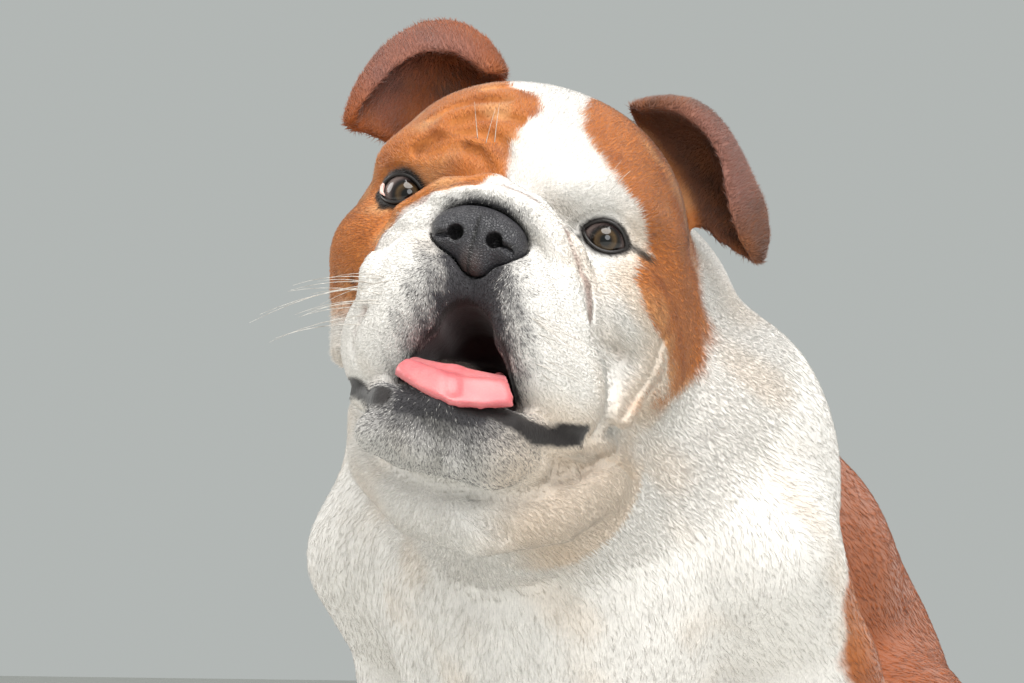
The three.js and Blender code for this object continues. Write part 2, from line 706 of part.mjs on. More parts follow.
// The neck and trunk, less the head and the legs
const inBody = (solid) => solid.transform(headMatrix.elements);
const headSpace = inBody(sidePrism(inset(HEAD_OUTLINE, -GAP / 2), -FAR, FAR));
const legPrism = ([outline, parting], distance, side = 1) => {
  const prism = sidePrism(inset(outline, distance), parting + distance, FAR);
  return side > 0 ? prism : prism.mirror([1, 0, 0]);
};
const legSpaces = Object.values(LEG_REGIONS).flatMap((region) =>
  [1, -1].map((side) => legPrism(region, -GAP / 2, side)),
);
const bare = (solid, spaces) => spaces.reduce((rest, space) => rest.subtract(space), solid);

const neck = net(flesh, [-160, -240, 210], [180, 150, 480], NECK)
  .intersect(sidePrism(inset(NECK_OUTLINE, GAP / 2), -FAR, FAR))
  .subtract(inBody(tongueRoom));
place("neck", bare(neck, [...legSpaces, headSpace, inBody(jawRoom)]), "white");

const trunk = net(flesh, [-210, -230, -40], [210, 360, 440], TRUNK_FLESH).intersect(floorCut);
const clearTrunk = bare(trunk, [...legSpaces, headSpace, inBody(jawRoom)]);
place("chest", clearTrunk.intersect(sidePrism(inset(CHEST_OUTLINE, GAP / 2), -FAR, FAR)), "white");
const hind = largest(clearTrunk.intersect(sidePrism(inset(HIND_OUTLINE, GAP / 2), -FAR, FAR)));
place("hindquarters", hind, "red");

const tail = net(blended(TAIL), [-30, 260, 40], [50, 350, 130], TAIL_FLESH);
place("tail", tail.subtract(roomOf(hind)), "red");

// Legs: the left ones, and the same mirrored. Each paw has four claws
function claws(at, reach, halfWidth) {
  return [-0.78, -0.28, 0.28, 0.78].map((side) => {
    const geometry = new THREE.ConeGeometry(3.6, 14, 6);
    geometry.rotateX(radians(118));
    geometry.translate(at[0] + side * halfWidth, at[1] - reach + 16 * side * side - 11, 11);
    return solidOf(geometry);
  });
}
const CLAWS = { fore_paw: claws([108, -70, 20], 46, 34), hind_paw: claws([146, 52, 18], 46, 32) };

for (const [name, region] of Object.entries(LEG_REGIONS)) {
  const [outline, parting] = region;
  const ys = outline.map(([y]) => y);
  const zs = outline.map(([, z]) => z);
  const low = [parting - 12, Math.max(Math.min(...ys), -150) - 20, Math.max(Math.min(...zs) - 30, -50)];
  const high = [210, Math.max(...ys) + 20, Math.max(...zs) + 20];
  let leg = net(flesh, low, high, LEG_MESHING[name] ?? LIMB).intersect(legPrism(region, GAP / 2));
  for (const claw of CLAWS[name] ?? []) leg = leg.add(claw);
  leg = largest(leg.intersect(floorCut));
  const material = name.includes("fore") ? "white" : "red";
  place(`${name}_left`, leg, material);
  place(`${name}_right`, leg.mirror([1, 0, 0]), material);
}

export default dog;
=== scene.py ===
# The looks of the bulldog: one folded skin over the solids, a short coat of tufts, eyes, nose, tongue,
# claws and whiskers. Everything is worked out in millimetres and placed in metres. Points named p are
# in the dog's frame, h in the head's own frame, and s is h with the head's sideways drift taken out.
import math

import bmesh
import bpy
import numpy as np
from mathutils import Matrix, Vector
from mathutils.bvhtree import BVHTree


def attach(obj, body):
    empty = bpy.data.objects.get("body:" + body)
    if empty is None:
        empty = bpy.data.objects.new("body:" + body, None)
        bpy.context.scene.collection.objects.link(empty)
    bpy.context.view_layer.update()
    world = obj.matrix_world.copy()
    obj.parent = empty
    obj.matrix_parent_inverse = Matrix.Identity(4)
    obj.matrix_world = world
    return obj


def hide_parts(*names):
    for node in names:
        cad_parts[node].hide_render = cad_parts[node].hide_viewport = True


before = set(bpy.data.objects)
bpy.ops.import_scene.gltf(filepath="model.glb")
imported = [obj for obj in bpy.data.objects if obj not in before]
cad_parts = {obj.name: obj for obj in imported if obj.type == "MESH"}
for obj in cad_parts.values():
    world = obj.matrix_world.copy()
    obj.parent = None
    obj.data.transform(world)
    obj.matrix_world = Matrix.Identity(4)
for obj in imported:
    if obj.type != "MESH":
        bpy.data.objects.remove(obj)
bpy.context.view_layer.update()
draw = np.random.default_rng(11)

# Sizes, in millimetres and degrees. SAG is how far the head's forms drift aside for each millimetre down,
# a lids' opening is half as wide and half as high as it says, and a paw is a middle, a reach and a half width
ORIGIN = np.array([0.0, 43.8, 0.0])
HEAD_AT = np.array([14.0, -150.0, 435.0])
HEAD_TURN = (-15, 13, 13)
SAG = 0.13
HEAD_MIDDLE = (0, 40, -30)
HEAD_ROOM = 210
FACE_MIDDLE = (4, 20, -30)
FACE_RADIUS = 172
COAT_DEPTH = 1.2
EYE_RADIUS = 12.5
LEFT_EYE = np.array([56.0, 6.0, -2.0])
RIGHT_EYE = np.array([-54.0, 6.0, 0.0])
LID_OPENING = (11.6, 7.4)
LID_TURN = 14
LID_LEAN = 9
LID_SWELL = 1.9
LID_CREASE = 4.2
EAR_THICKNESS = 5.6
EAR_REACH = 14
LEFT_CONCH = np.array([84.0, 42.0, 58.0])
RIGHT_CONCH = np.array([-76.0, 40.0, 76.0])
TONGUE_THICKNESS = 5.6
TOE_SPREADS = (-0.78, -0.28, 0.28, 0.78)
FORE_PAW = ((108, -70, 20), 46, 34)
HIND_PAW = ((146, 52, 18), 46, 32)
SKIN_CLEARANCE = 0.6
TUFT_CLEARANCE = 0.4
FAR = 60.0
MARGIN = 10

# The view of the photo, in degrees, metres and the photo's pixels
VIEW_TURN = math.radians(25)
VIEW_RISE = math.radians(-2.3)
VIEW_DISTANCE = 2.6
PIXEL = 0.00052
IMAGE = (1024, 683)
HEAD_PIXEL = (501.5, 212.5)
TO_VIEWER = Vector((math.sin(VIEW_TURN) * math.cos(VIEW_RISE), -math.cos(VIEW_TURN) * math.cos(VIEW_RISE),
                    math.sin(VIEW_RISE)))


# Forms: the same rounded balls and limbs as the solids, blended, with finer folds added. A form is its
# distance function, the width that it blends over, whether it is carved, and a middle and reach that hold it

def distance_to(points, at):
    return np.linalg.norm(points - at, axis=1)


def turned(degrees):
    x, y, z = [math.radians(d) for d in degrees]
    turn = Matrix.Rotation(z, 3, "Z") @ Matrix.Rotation(x, 3, "X") @ Matrix.Rotation(y, 3, "Y")
    return np.array(turn)


HEAD_TURNED = turned(HEAD_TURN)


def ball(at, radii, blend, turn=(0, 0, 0)):
    spin = turned(turn)
    at = np.array(at, float)
    radii = np.array(radii, float)

    def distance(p):
        q = ((p - at) @ spin) / radii
        near = np.linalg.norm(q, axis=1)
        slope = np.linalg.norm(q / radii, axis=1)
        return near * (near - 1) / np.maximum(slope, 1e-9)

    return distance, blend, False, at, radii.max()


def limb(points, radii, blend):
    points = np.array(points, float)

    def distance(p):
        nearest = np.full(len(p), 1e9)
        for a, b, ra, rb in zip(points, points[1:], radii, radii[1:]):
            along = b - a
            share = np.clip((p - a) @ along / (along @ along), 0, 1)
            away = np.linalg.norm(p - a - share[:, None] * along, axis=1)
            nearest = np.minimum(nearest, away - (ra + (rb - ra) * share))
        return nearest

    middle = (points.min(axis=0) + points.max(axis=0)) / 2
    reach = distance_to(points, middle).max() + max(radii)
    return distance, blend, False, middle, reach


def carve(form):
    return *form[:2], True, *form[3:]


def both(*forms):
    """Each form, and its mirror image on the other side"""
    result = []
    for distance, blend, carved, middle, reach in forms:
        result.append((distance, blend, carved, middle, reach))
        result.append((lambda p, d=distance: d(p * (-1, 1, 1)), blend, carved, middle * (-1, 1, 1), reach))
    return result


def smooth_min(a, b, width):
    """The lesser of two distances, rounded over width where they meet"""
    share = np.maximum(width - np.abs(a - b), 0) / width
    return np.minimum(a, b) - share * share * width / 4


def blended(forms, p, value=None):
    value = np.full(len(p), FAR) if value is None else value.copy()
    for distance, blend, carved, middle, reach in forms:
        near = np.flatnonzero(((p - middle) ** 2).sum(axis=1) < (reach + blend + MARGIN) ** 2)
        if len(near):
            d = distance(p[near])
            value[near] = -smooth_min(-value[near], d, blend) if carved else smooth_min(value[near], d, blend)
    return value


UPPER_HEAD = [
    ball((0, 60, 18), (84, 74, 62), 20),
    ball((0, 40, 36), (66, 50, 44), 24),
    *both(
        ball((62, 54, -38), (36, 52, 52), 30),
        ball((42, 12, 22), (34, 24, 20), 18, (0, 12, 0)),
        ball((62, 18, -34), (30, 30, 28), 16),
    ),
    ball((0, 6, -44), (54, 44, 42), 22),
    *both(
        ball((32, -24, -62), (25, 28, 40), 12, (0, -16, 0)),
        ball((47, -8, -86), (25, 33, 32), 12),
        limb([(70, 14, -24), (80, 22, -58), (76, 14, -88)], (9, 11, 8), 8),
        limb([(0, -27, -1), (22, -25, -5), (42, -18, -20), (52, -12, -42), (55, -4, -70)],
             (12, 12, 12, 11, 8), 7),
    ),
]

MOUTH = [
    limb([(0, -48, -72), (0, -30, -74), (0, 10, -78)], (13, 13, 14), 5),
    limb([(0, -56, -98), (0, -30, -100), (0, 20, -100)], (25, 25, 27), 5),
]

JAW = [
    ball((0, -14, -130), (50, 42, 21), 12),
    *both(
        ball((22, -36, -134), (21, 20, 19), 9),
        limb([(64, 34, -100), (56, -8, -114), (34, -42, -120), (0, -54, -121)], (8, 8, 8, 8), 9),
    ),
    ball((0, 30, -114), (60, 46, 24), 16),
]

NOSE = [
    ball((0, -34, -24), (24, 14, 15), 5),
    ball((0, -36, -37), (10, 8.5, 9), 6),
    *both(ball((15, -36, -27), (10.5, 11, 11), 4)),
    carve(limb([(0, -48, -14), (0, -48.5, -28), (0, -44.5, -50)], (1.2, 2.0, 1.6), 2)),
]

DEWLAP = [
    limb([(-60, 44, -112), (-50, 22, -140), (-22, 2, -162), (14, -4, -166), (48, 14, -146), (62, 40, -118)],
         (17, 17, 16, 16, 17, 17), 14),
    ball((0, 50, -128), (56, 52, 34), 24),
]

# Lines along each ear from its root to its tip, in order round the flap
LEFT_EAR = [
    [(40, 50, 84), (60, 41, 86), (78, 37, 80), (91, 37, 69),
     (99, 39, 56), (105, 42, 42), (113, 46, 27), (121, 53, 18)],
    [(33, 60, 88), (50, 53, 94), (68, 49, 95), (84, 49, 89),
     (98, 51, 76), (110, 55, 61), (123, 58, 43), (126, 57, 18)],
    [(40, 70, 82), (56, 72, 82), (72, 76, 77), (87, 78, 68),
     (99, 76, 57), (110, 74, 46), (120, 68, 33), (125, 61, 19)],
    [(45, 72, 72), (58, 78, 62), (70, 80, 50), (82, 78, 38),
     (92, 73, 31), (103, 68, 26), (114, 64, 22), (122, 59, 18)],
]
RIGHT_EAR = [
    [(-45, 48, 86), (-58, 43, 92), (-70, 40, 92), (-81, 38, 87),
     (-90, 36, 76), (-97, 35, 63), (-102, 34, 50), (-105, 34, 40)],
    [(-36, 56, 91), (-46, 54, 103), (-63, 53, 112), (-80, 51, 112),
     (-96, 47, 100), (-105, 42, 82), (-109, 37, 58), (-108, 36, 39)],
    [(-40, 66, 88), (-52, 70, 95), (-66, 72, 98), (-79, 69, 93),
     (-90, 63, 82), (-98, 56, 68), (-105, 46, 54), (-108, 39, 40)],
    [(-46, 70, 78), (-56, 74, 70), (-67, 74, 60), (-78, 71, 50),
     (-86, 65, 43), (-92, 57, 40), (-99, 47, 40), (-105, 39, 38)],
]
# The tongue's upper face: its right edge, its middle and its left edge
TONGUE = [
    [(-8, 10, -92), (-10, -28, -90), (-13, -46, -96), (-15, -56, -109)],
    [(12, 10, -94), (12, -30, -94), (14, -50, -96), (23, -67, -127)],
    [(30, 10, -93), (34, -28, -90), (44, -45, -96), (54, -55, -118)],
]
TONGUE_GROOVE = [(12, 0, -92), (12, -30, -96), (14, -52, -100), (21, -63, -114)]

TRUNK = [
    ball((0, 12, 258), (120, 122, 122), 30),
    ball((0, -58, 240), (94, 62, 88), 34),
    ball((0, -36, 186), (74, 70, 62), 34),
    ball((0, 52, 330), (92, 90, 56), 40),
    limb([(0, 10, 326), (10, -30, 372)], (106, 84), 40),
    limb([(6, -66, 325), (14, -96, 300)], (84, 62), 30),
    ball((0, 142, 240), (118, 106, 104), 50),
    ball((0, 112, 165), (96, 110, 80), 50),
    ball((0, 226, 136), (128, 92, 150), 50),
]


def toe_places(at, reach, half_width):
    """x and y of the middle of each toe, the two inner ones further forward"""
    return [(at[0] + side * half_width, at[1] - reach + 16 * side * side) for side in TOE_SPREADS]


def paw(at, reach, half_width):
    toes = [limb([(x, y + 26, 22), (x, y + 6, 17), (x, y, 10)], (11, 11.5, 9.5), 4)
            for x, y in toe_places(at, reach, half_width)]
    return [ball(at, (half_width * 0.95, reach * 0.8, 22), 10), *toes]


# Foreleg, hind leg and paws of the left side, and their mirror images
LIMBS = both(
    ball((93, -8, 296), (48, 64, 86), 26),
    limb([(112, -34, 256), (116, 34, 192)], (43, 34), 22),
    limb([(114, 24, 190), (106, -34, 62)], (37, 29), 16),
    limb([(106, -34, 62), (107, -54, 32)], (28, 27), 10),
    ball((116, 152, 116), (54, 100, 84), 26, (14, 0, 0)),
    ball((134, 70, 140), (38, 42, 48), 22),
    limb([(138, 84, 120), (130, 214, 40)], (34, 25), 16),
    limb([(130, 216, 26), (142, 84, 24)], (26, 23), 12),
    *paw(*FORE_PAW),
    *paw(*HIND_PAW),
)
TAIL = [limb([(0, 292, 92), (6, 316, 88), (16, 324, 76), (20, 318, 66)], (17, 13, 10, 7), 8)]
BODY = [*TRUNK, *LIMBS, *TAIL]


def to_head(p):
    return (p - HEAD_AT) @ HEAD_TURNED


def from_head(h):
    return h @ HEAD_TURNED.T + HEAD_AT


def sagged(h):
    """Points moved back to where the head's forms stand upright"""
    return h - np.stack([SAG * np.maximum(0, -h[:, 2]), 0 * h[:, 1], 0 * h[:, 2]], axis=1)


# Folds of the face, in the head's frame: the line that each crease follows, and how deep it is
CREASES = [
    ([(41, -27, -6), (51, -27, -16), (59, -23, -30), (64, -21, -44), (68, -19, -54), (74, -8, -60),
      (81, 5, -61), (88, 6, -63)], 3.0),
    ([(-32, -34, -10), (-42, -30, -16), (-49, -25, -26), (-52, -22, -39), (-53, -19, -51), (-56, -8, -66),
      (-60, 0, -80)], 3.0),
    ([(-32, -34, -10), (-19, -36, -1), (-3, -38, 2), (13, -36, 3), (29, -33, 0), (41, -27, -6)], 1.2),
    ([(-50, -11, 20), (-40, -14, 29), (-32, -15, 33), (-21, -16, 36), (-8, -17, 33), (-3, -18, 27)], 2.9),
    ([(-43, -14, 19), (-35, -16, 24), (-27, -16, 26), (-16, -17, 24), (-9, -18, 17), (-6, -22, 8)], 2.6),
    ([(-3, -17, 32), (1, -17, 24), (0, -19, 14), (-2, -26, 6)], 1.5),
    ([(-49, -6, 41), (-41, -3, 50), (-28, -3, 56), (-13, -5, 59)], 2.3),
    ([(-36, -13, 37), (-25, -12, 44), (-13, -12, 48), (0, -13, 47)], 2.1),
    ([(-30, 6, 66), (-14, 6, 71), (0, 5, 70)], 1.2),
    ([(-43, -40, -76), (-47, -38, -84), (-48, -34, -93), (-45, -33, -103)], 1.5),
    ([(-66, 0, -50), (-68, 6, -64), (-66, 4, -80)], 2.2),
    ([(-74, 16, -34), (-80, 22, -56), (-76, 18, -78)], 1.8),
    ([(99, 18, -44), (98, 17, -62), (94, 12, -76), (90, 9, -90)], 1.1),
    ([(4, -39, -42), (5, -39, -50), (4, -37, -60), (3, -35, -68)], 1.6),
    ([(58, -16, 12), (66, -9, 11), (73, -2, 6)], 0.9),
]
SWELLS = [
    ball((-24, -6, 30), (20, 11, 5), 8, (0, 8, 0)),
    ball((30, -6, 18), (26, 13, 12), 12, (0, -14, 0)),
    ball((-28, 2, 46), (20, 12, 5), 8, (0, -16, 0)),
    limb([(-44, -36, -70), (-46, -35, -56), (-46, -31, -44), (-43, -30, -32), (-36, -31, -21),
          (-26, -32, -14), (-14, -34, -7), (0, -36, -5), (16, -36, -5), (30, -31, -9), (40, -29, -17),
          (50, -29, -30), (58, -30, -44), (64, -28, -57), (66, -26, -68)],
         [7, 8.5] + [9.2] * 11 + [8, 6], 5),
    ball((97, 44, 33), (10, 9, 9), 7),
    ball((-90, 42, 50), (9, 9, 8), 7),
]
CHIN_LOBES = [
    ball((-17, -43, -139), (13, 12, 12), 5),
    ball((6, -44, -140), (13, 12, 12), 5),
    ball((27, -43, -141), (9, 11, 14), 4),
    ball((44, -38, -140), (11, 12, 14), 4),
]
DEWLAP_CREASES = [
    ([(10, -34, -158), (14, -22, -172), (16, -6, -186)], 3.0),
    ([(26, -34, -152), (38, -22, -164), (50, -8, -168)], 2.5),
    ([(-40, -12, -138), (-28, -14, -156), (-12, -16, -166)], 2.0),
    ([(84, 28, -104), (70, 12, -128), (48, 0, -146)], 2.5),
]
CHEST_CREASES = [
    ([(-60, -118, 262), (-34, -126, 240), (-4, -128, 232), (30, -124, 240)], 3.0),
    ([(60, -96, 310), (74, -84, 280), (80, -76, 250)], 3.0),
    ([(84, -70, 236), (78, -60, 206), (76, -44, 186)], 3.5),
    ([(-84, -70, 236), (-78, -60, 206), (-76, -44, 186)], 3.5),
]


def creases(lines, start, end, blend):
    """Carved limbs along the lines, thinner at their two ends"""
    made = []
    for line, depth in lines:
        radii = [depth * start] + [depth] * (len(line) - 2) + [depth * end]
        made.append(carve(limb(line, radii, blend)))
    return made


face_folds = creases(CREASES, 0.7, 0.6, 3.5)
dewlap_folds = creases(DEWLAP_CREASES, 0.6, 0.6, 8)
chest_folds = creases(CHEST_CREASES, 0.5, 0.5, 12)


# Ears: curved sheets through their lines

def spline(points, t):
    points = np.array(points, float)
    last = len(points) - 1
    i = np.clip(np.floor(t * last).astype(int), 0, last - 1)
    s = (t * last - i)[:, None]
    before = points[np.maximum(i - 1, 0)]
    after = points[np.minimum(i + 2, last)]
    a, b = points[i], points[i + 1]
    return 0.5 * (2 * a + (b - before) * s + (2 * before - 5 * a + 4 * b - after) * s ** 2
                  + (3 * a - before - 3 * b + after) * s ** 3)


def sheet_points(lines, along, across):
    t = np.linspace(0, 1, along)
    curves = np.stack([spline(line, t) for line in lines], axis=1)
    return np.stack([spline(section, np.linspace(0, 1, across)) for section in curves])


def sheet_tree(lines):
    """A search tree of the sheet through the lines, and the sheet's grid of points"""
    grid = sheet_points(lines, 40, 26)
    n, m = grid.shape[:2]
    quads = [(i * m + j, i * m + j + 1, (i + 1) * m + j + 1, (i + 1) * m + j)
             for i in range(n - 1) for j in range(m - 1)]
    return BVHTree.FromPolygons([tuple(p) for p in grid.reshape(-1, 3)], quads), grid


left_tree, left_grid = sheet_tree(LEFT_EAR)
right_tree, right_grid = sheet_tree(RIGHT_EAR)


def ear_anchors(p):
    """The nearest place on either ear's sheet, or one far off for points away from the ears"""
    h = to_head(p)
    anchors = np.full((len(p), 3), 1e4)
    for tree, grid in ((left_tree, left_grid), (right_tree, right_grid)):
        low = grid.reshape(-1, 3).min(axis=0) - EAR_REACH
        high = grid.reshape(-1, 3).max(axis=0) + EAR_REACH
        for i in np.flatnonzero(((h > low) & (h < high)).all(axis=1)):
            anchors[i] = tree.find_nearest(h[i])[0]
    return anchors


# Eyes: the almond opening of the lids, where two circles overlap

def opening_circles():
    half, rise = LID_OPENING
    radius = (half ** 2 + rise ** 2) / (2 * rise)
    return radius, radius - rise


def lid_angles(eye):
    side = 1 if eye[0] > 0 else -1
    return math.radians(LID_TURN) * side, math.radians(LID_LEAN) * side


def almond(h, eye):
    """Distance from the edge of the lids' opening, seen along the eye's axis"""
    turn, lean = lid_angles(eye)
    x = (h[:, 0] - eye[0]) * math.cos(turn) + (h[:, 1] - eye[1]) * math.sin(turn)
    across = x * math.cos(lean) - (h[:, 2] - eye[2]) * math.sin(lean)
    up = x * math.sin(lean) + (h[:, 2] - eye[2]) * math.cos(lean)
    radius, shift = opening_circles()
    return np.maximum(np.hypot(across, up + shift), np.hypot(across, up - shift)) - radius


def with_lids(value, h, eye):
    """A swell round the eye, a crease over the upper lid, the opening, and room for the eyeball"""
    centre = distance_to(h, eye)
    value = smooth_min(value, centre - (EYE_RADIUS + LID_SWELL), 5)
    crease = np.abs(centre - (EYE_RADIUS + LID_CREASE)) - 0.8
    opening = almond(h, eye)
    upper = np.maximum(np.abs(opening - 4.0) - 0.9, eye[2] + 2 - h[:, 2])
    value = -smooth_min(-value, np.maximum(upper, crease), 3)
    front = np.maximum(opening, h[:, 1] - eye[1] + 3)
    value = -smooth_min(-value, front, 1.2)
    return np.maximum(value, EYE_RADIUS + 0.25 - centre)


# Skin: the solids made one, and drawn onto the blended forms

def flesh(p, anchors):
    """Distance from the whole dog's surface, negative inside"""
    value = blended(chest_folds, p, blended(BODY, p))
    h = to_head(p)
    near = np.flatnonzero(distance_to(h, HEAD_MIDDLE) < HEAD_ROOM)
    if not len(near):
        return value
    h = h[near]
    s = sagged(h)
    head = smooth_min(blended(UPPER_HEAD, s), blended(DEWLAP, s), 12)
    head = smooth_min(head, value[near], 16)
    ears = distance_to(h, anchors[near]) - EAR_THICKNESS / 2
    head = smooth_min(head, ears, 7)
    for forms in (SWELLS, face_folds, dewlap_folds):
        head = blended(forms, h, head)
    head = with_lids(with_lids(head, h, LEFT_EYE), h, RIGHT_EYE)
    head = -smooth_min(-head, blended(NOSE, s) - 0.2, 1)
    head = -smooth_min(-head, blended(MOUTH, s), 5)
    jaw = blended(CHIN_LOBES, h, blended(JAW, s))
    value[near] = smooth_min(head, jaw, 2.5)
    return value


def ear_share(p):
    """1 on the flaps of the ears, clear of the skull, and 0 elsewhere"""
    h = to_head(p)
    skull = blended(UPPER_HEAD, sagged(h))
    near = np.linalg.norm(h - ear_anchors(p), axis=1) < 9
    return np.clip((skull - 5) / 4, 0, 1) * near


def slope_of(field, points, here, nudge):
    return np.stack([(field(points + np.eye(3)[k] * nudge) - here) / nudge for k in range(3)], axis=1)


def flesh_slope(points, nudge=0.35):
    anchors = ear_anchors(points)
    here = flesh(points, anchors)
    return here, slope_of(lambda p: flesh(p, anchors), points, here, nudge)


def capped_move(here, slope, least_slope, most):
    """The step that takes each point to where its form is zero, no longer than most"""
    steep = np.maximum((slope ** 2).sum(axis=1), least_slope)
    move = -(here / steep)[:, None] * slope
    size = np.maximum(np.linalg.norm(move, axis=1), 1e-9)
    return move * np.minimum(1, most / size)[:, None]


def settled(points, depth, steps, most=1.6):
    """Points drawn to a depth under the surface of the flesh, the flaps of the ears left alone"""
    flap = ear_share(points)
    for _ in range(steps):
        here, slope = flesh_slope(points)
        points = points + capped_move(here + depth, slope, 0.15, most) * (1 - flap)[:, None]
    return points


def neighbour_count(points, edges):
    return np.maximum(np.bincount(edges.ravel(), minlength=len(points)), 1).astype(float)


def neighbour_pull(points, edges, count):
    """From each point to the mean of its neighbours"""
    total = np.zeros_like(points)
    for a, b in ((0, 1), (1, 0)):
        for k in range(3):
            total[:, k] += np.bincount(edges[:, a], points[edges[:, b], k], len(points))
    return total / count[:, None] - points


def relaxed(points, edges, normals, share=0.5):
    """Points evened out along the surface, not across it"""
    pull = neighbour_pull(points, edges, neighbour_count(points, edges))
    pull -= (pull * normals).sum(axis=1)[:, None] * normals
    return points + share * pull


def calmed(points, edges, rounds=10, limit=0.28):
    """Points smoothed only where they stand out from their neighbours, and just round there"""
    count = neighbour_count(points, edges)
    for _ in range(rounds):
        span = np.linalg.norm(points[edges[:, 0]] - points[edges[:, 1]], axis=1)
        length = np.bincount(edges.ravel(), np.repeat(span, 2), len(points)) / count
        pull = neighbour_pull(points, edges, count)
        rough = np.linalg.norm(pull, axis=1) > limit * length
        wider = rough.copy()
        wider[edges[rough[edges[:, 0]], 1]] = True
        wider[edges[rough[edges[:, 1]], 0]] = True
        points = points + 0.6 * pull * wider[:, None]
    return points


def mesh_arrays(mesh):
    points = np.empty(len(mesh.vertices) * 3)
    mesh.vertices.foreach_get("co", points)
    edges = np.empty(len(mesh.edges) * 2, int)
    mesh.edges.foreach_get("vertices", edges)
    return points.reshape(-1, 3) * 1000 + ORIGIN, edges.reshape(-1, 2)


def vertex_normals(mesh):
    normals = np.empty(len(mesh.vertices) * 3, np.float32)
    mesh.vertex_normals.foreach_get("vector", normals)
    return normals.reshape(-1, 3).astype(float)


def placed(points_in_mm):
    return (np.atleast_2d(points_in_mm) - ORIGIN) / 1000


def put_back(mesh, points):
    mesh.vertices.foreach_set("co", placed(points).ravel())
    mesh.update()


def smooth_faces(mesh):
    for polygon in mesh.polygons:
        polygon.use_smooth = True


def fresh(name, data):
    made = bpy.data.objects.new(name, data)
    bpy.context.scene.collection.objects.link(made)
    return made


def applied(piece, name):
    """The mesh of a piece with its modifiers in it; the piece itself goes"""
    ready = piece.evaluated_get(bpy.context.evaluated_depsgraph_get())
    mesh = bpy.data.meshes.new_from_object(ready)
    mesh.name = name
    bpy.data.objects.remove(piece)
    return mesh


def swollen_copy(names, swell):
    whole = bmesh.new()
    for name in names:
        part = bmesh.new()
        part.from_mesh(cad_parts[name].data)
        bmesh.ops.remove_doubles(part, verts=part.verts, dist=1e-5)
        part.normal_update()
        for vert in part.verts:
            vert.co += vert.normal * swell
        mesh = bpy.data.meshes.new(name + "_copy")
        part.to_mesh(mesh)
        part.free()
        whole.from_mesh(mesh)
        bpy.data.meshes.remove(mesh)
    mesh = bpy.data.meshes.new("whole")
    whole.to_mesh(mesh)
    whole.free()
    return mesh


def remeshed(mesh, voxel, name):
    rough = fresh("rough", mesh)
    remesh = rough.modifiers.new("Remesh", "REMESH")
    remesh.mode = "VOXEL"
    remesh.voxel_size = voxel
    return applied(rough, name)


def line_distance(h, line):
    return limb(line, [0] * len(line), 1)[0](h)


def in_face(p):
    h = to_head(p)
    front = (h[:, 1] < 70) & (h[:, 2] > -178)
    return front & (distance_to(h, FACE_MIDDLE) < FACE_RADIUS)


def in_fine_detail(p):
    """True round the eyes and along the deeper folds of the face"""
    h = to_head(p)
    fine = np.zeros(len(p), bool)
    for eye in (LEFT_EYE, RIGHT_EYE):
        fine |= (distance_to(h, eye) < 20) & (h[:, 1] < 6)
    for line, _ in CREASES[:8]:
        fine |= line_distance(h, line) < 5
    return fine


def refined(mesh, wanted):
    """Edges cut in two where both of their ends are wanted"""
    points, _ = mesh_arrays(mesh)
    chosen = wanted(points)
    detail = bmesh.new()
    detail.from_mesh(mesh)
    detail.verts.ensure_lookup_table()
    edges = [edge for edge in detail.edges if chosen[edge.verts[0].index] and chosen[edge.verts[1].index]]
    bmesh.ops.subdivide_edges(detail, edges=edges, cuts=1, use_grid_fill=True)
    bmesh.ops.triangulate(detail, faces=[face for face in detail.faces if len(face.verts) > 4])
    detail.to_mesh(mesh)
    detail.free()


def lighter_body(mesh, share):
    """Fewer faces everywhere but on the dog's face"""
    whole = fresh("whole", mesh)
    points, _ = mesh_arrays(mesh)
    group = whole.vertex_groups.new(name="body")
    group.add([int(i) for i in np.flatnonzero(~in_face(points))], 1.0, "REPLACE")
    decimate = whole.modifiers.new("Decimate", "DECIMATE")
    decimate.ratio = share
    decimate.vertex_group = "body"
    decimate.vertex_group_factor = 10
    return applied(whole, "skin")


BARE_NODES = ("eye_left", "eye_right", "nose", "tongue")
FLESH_NODES = [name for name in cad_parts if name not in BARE_NODES]
# In metres, how far the solids swell to become one and how fine the skin is, and the body's share of faces
SKIN_SWELL = 0.0008
SKIN_VOXEL = 0.0024
BODY_SHARE = 0.41


def folded_skin():
    """The skin under the coat, and its points in millimetres"""
    mesh = lighter_body(remeshed(swollen_copy(FLESH_NODES, SKIN_SWELL), SKIN_VOXEL, "skin"), BODY_SHARE)
    points, edges = mesh_arrays(mesh)
    for _ in range(2):
        points = settled(points, COAT_DEPTH, 2, 3)
        put_back(mesh, points)
        points = relaxed(points, edges, vertex_normals(mesh))
    points = calmed(settled(points, COAT_DEPTH, 1), edges)

    # The flaps of the ears are smoothed as they are, and thinned to leave room for the coat
    flaps = ear_share(points)[:, None]
    for _ in range(5):
        points += 0.5 * flaps * (relaxed(points, edges, np.zeros_like(points), 1) - points)
    put_back(mesh, points)
    points -= flaps * 0.4 * vertex_normals(mesh)
    put_back(mesh, points)

    refined(mesh, in_fine_detail)
    points, edges = mesh_arrays(mesh)
    for _ in range(2):
        points = relaxed(points, edges, vertex_normals(mesh))
        points = settled(points, COAT_DEPTH, 2)
        put_back(mesh, points)
    points = calmed(points, edges)
    points[:, 2] = np.maximum(points[:, 2], SKIN_CLEARANCE)
    put_back(mesh, points)
    smooth_faces(mesh)
    return fresh("skin", mesh), points


skin, skin_points = folded_skin()


# Markings: the colour of the coat anywhere on the dog, with painted shade in the creases and painted shadow
# in the mouth

def shade(*levels):
    """A linear colour from red, green and blue levels of 0 to 255"""
    return np.array([((level / 255 + 0.055) / 1.055) ** 2.4 if level > 10 else level / 255 / 12.92
                     for level in levels])


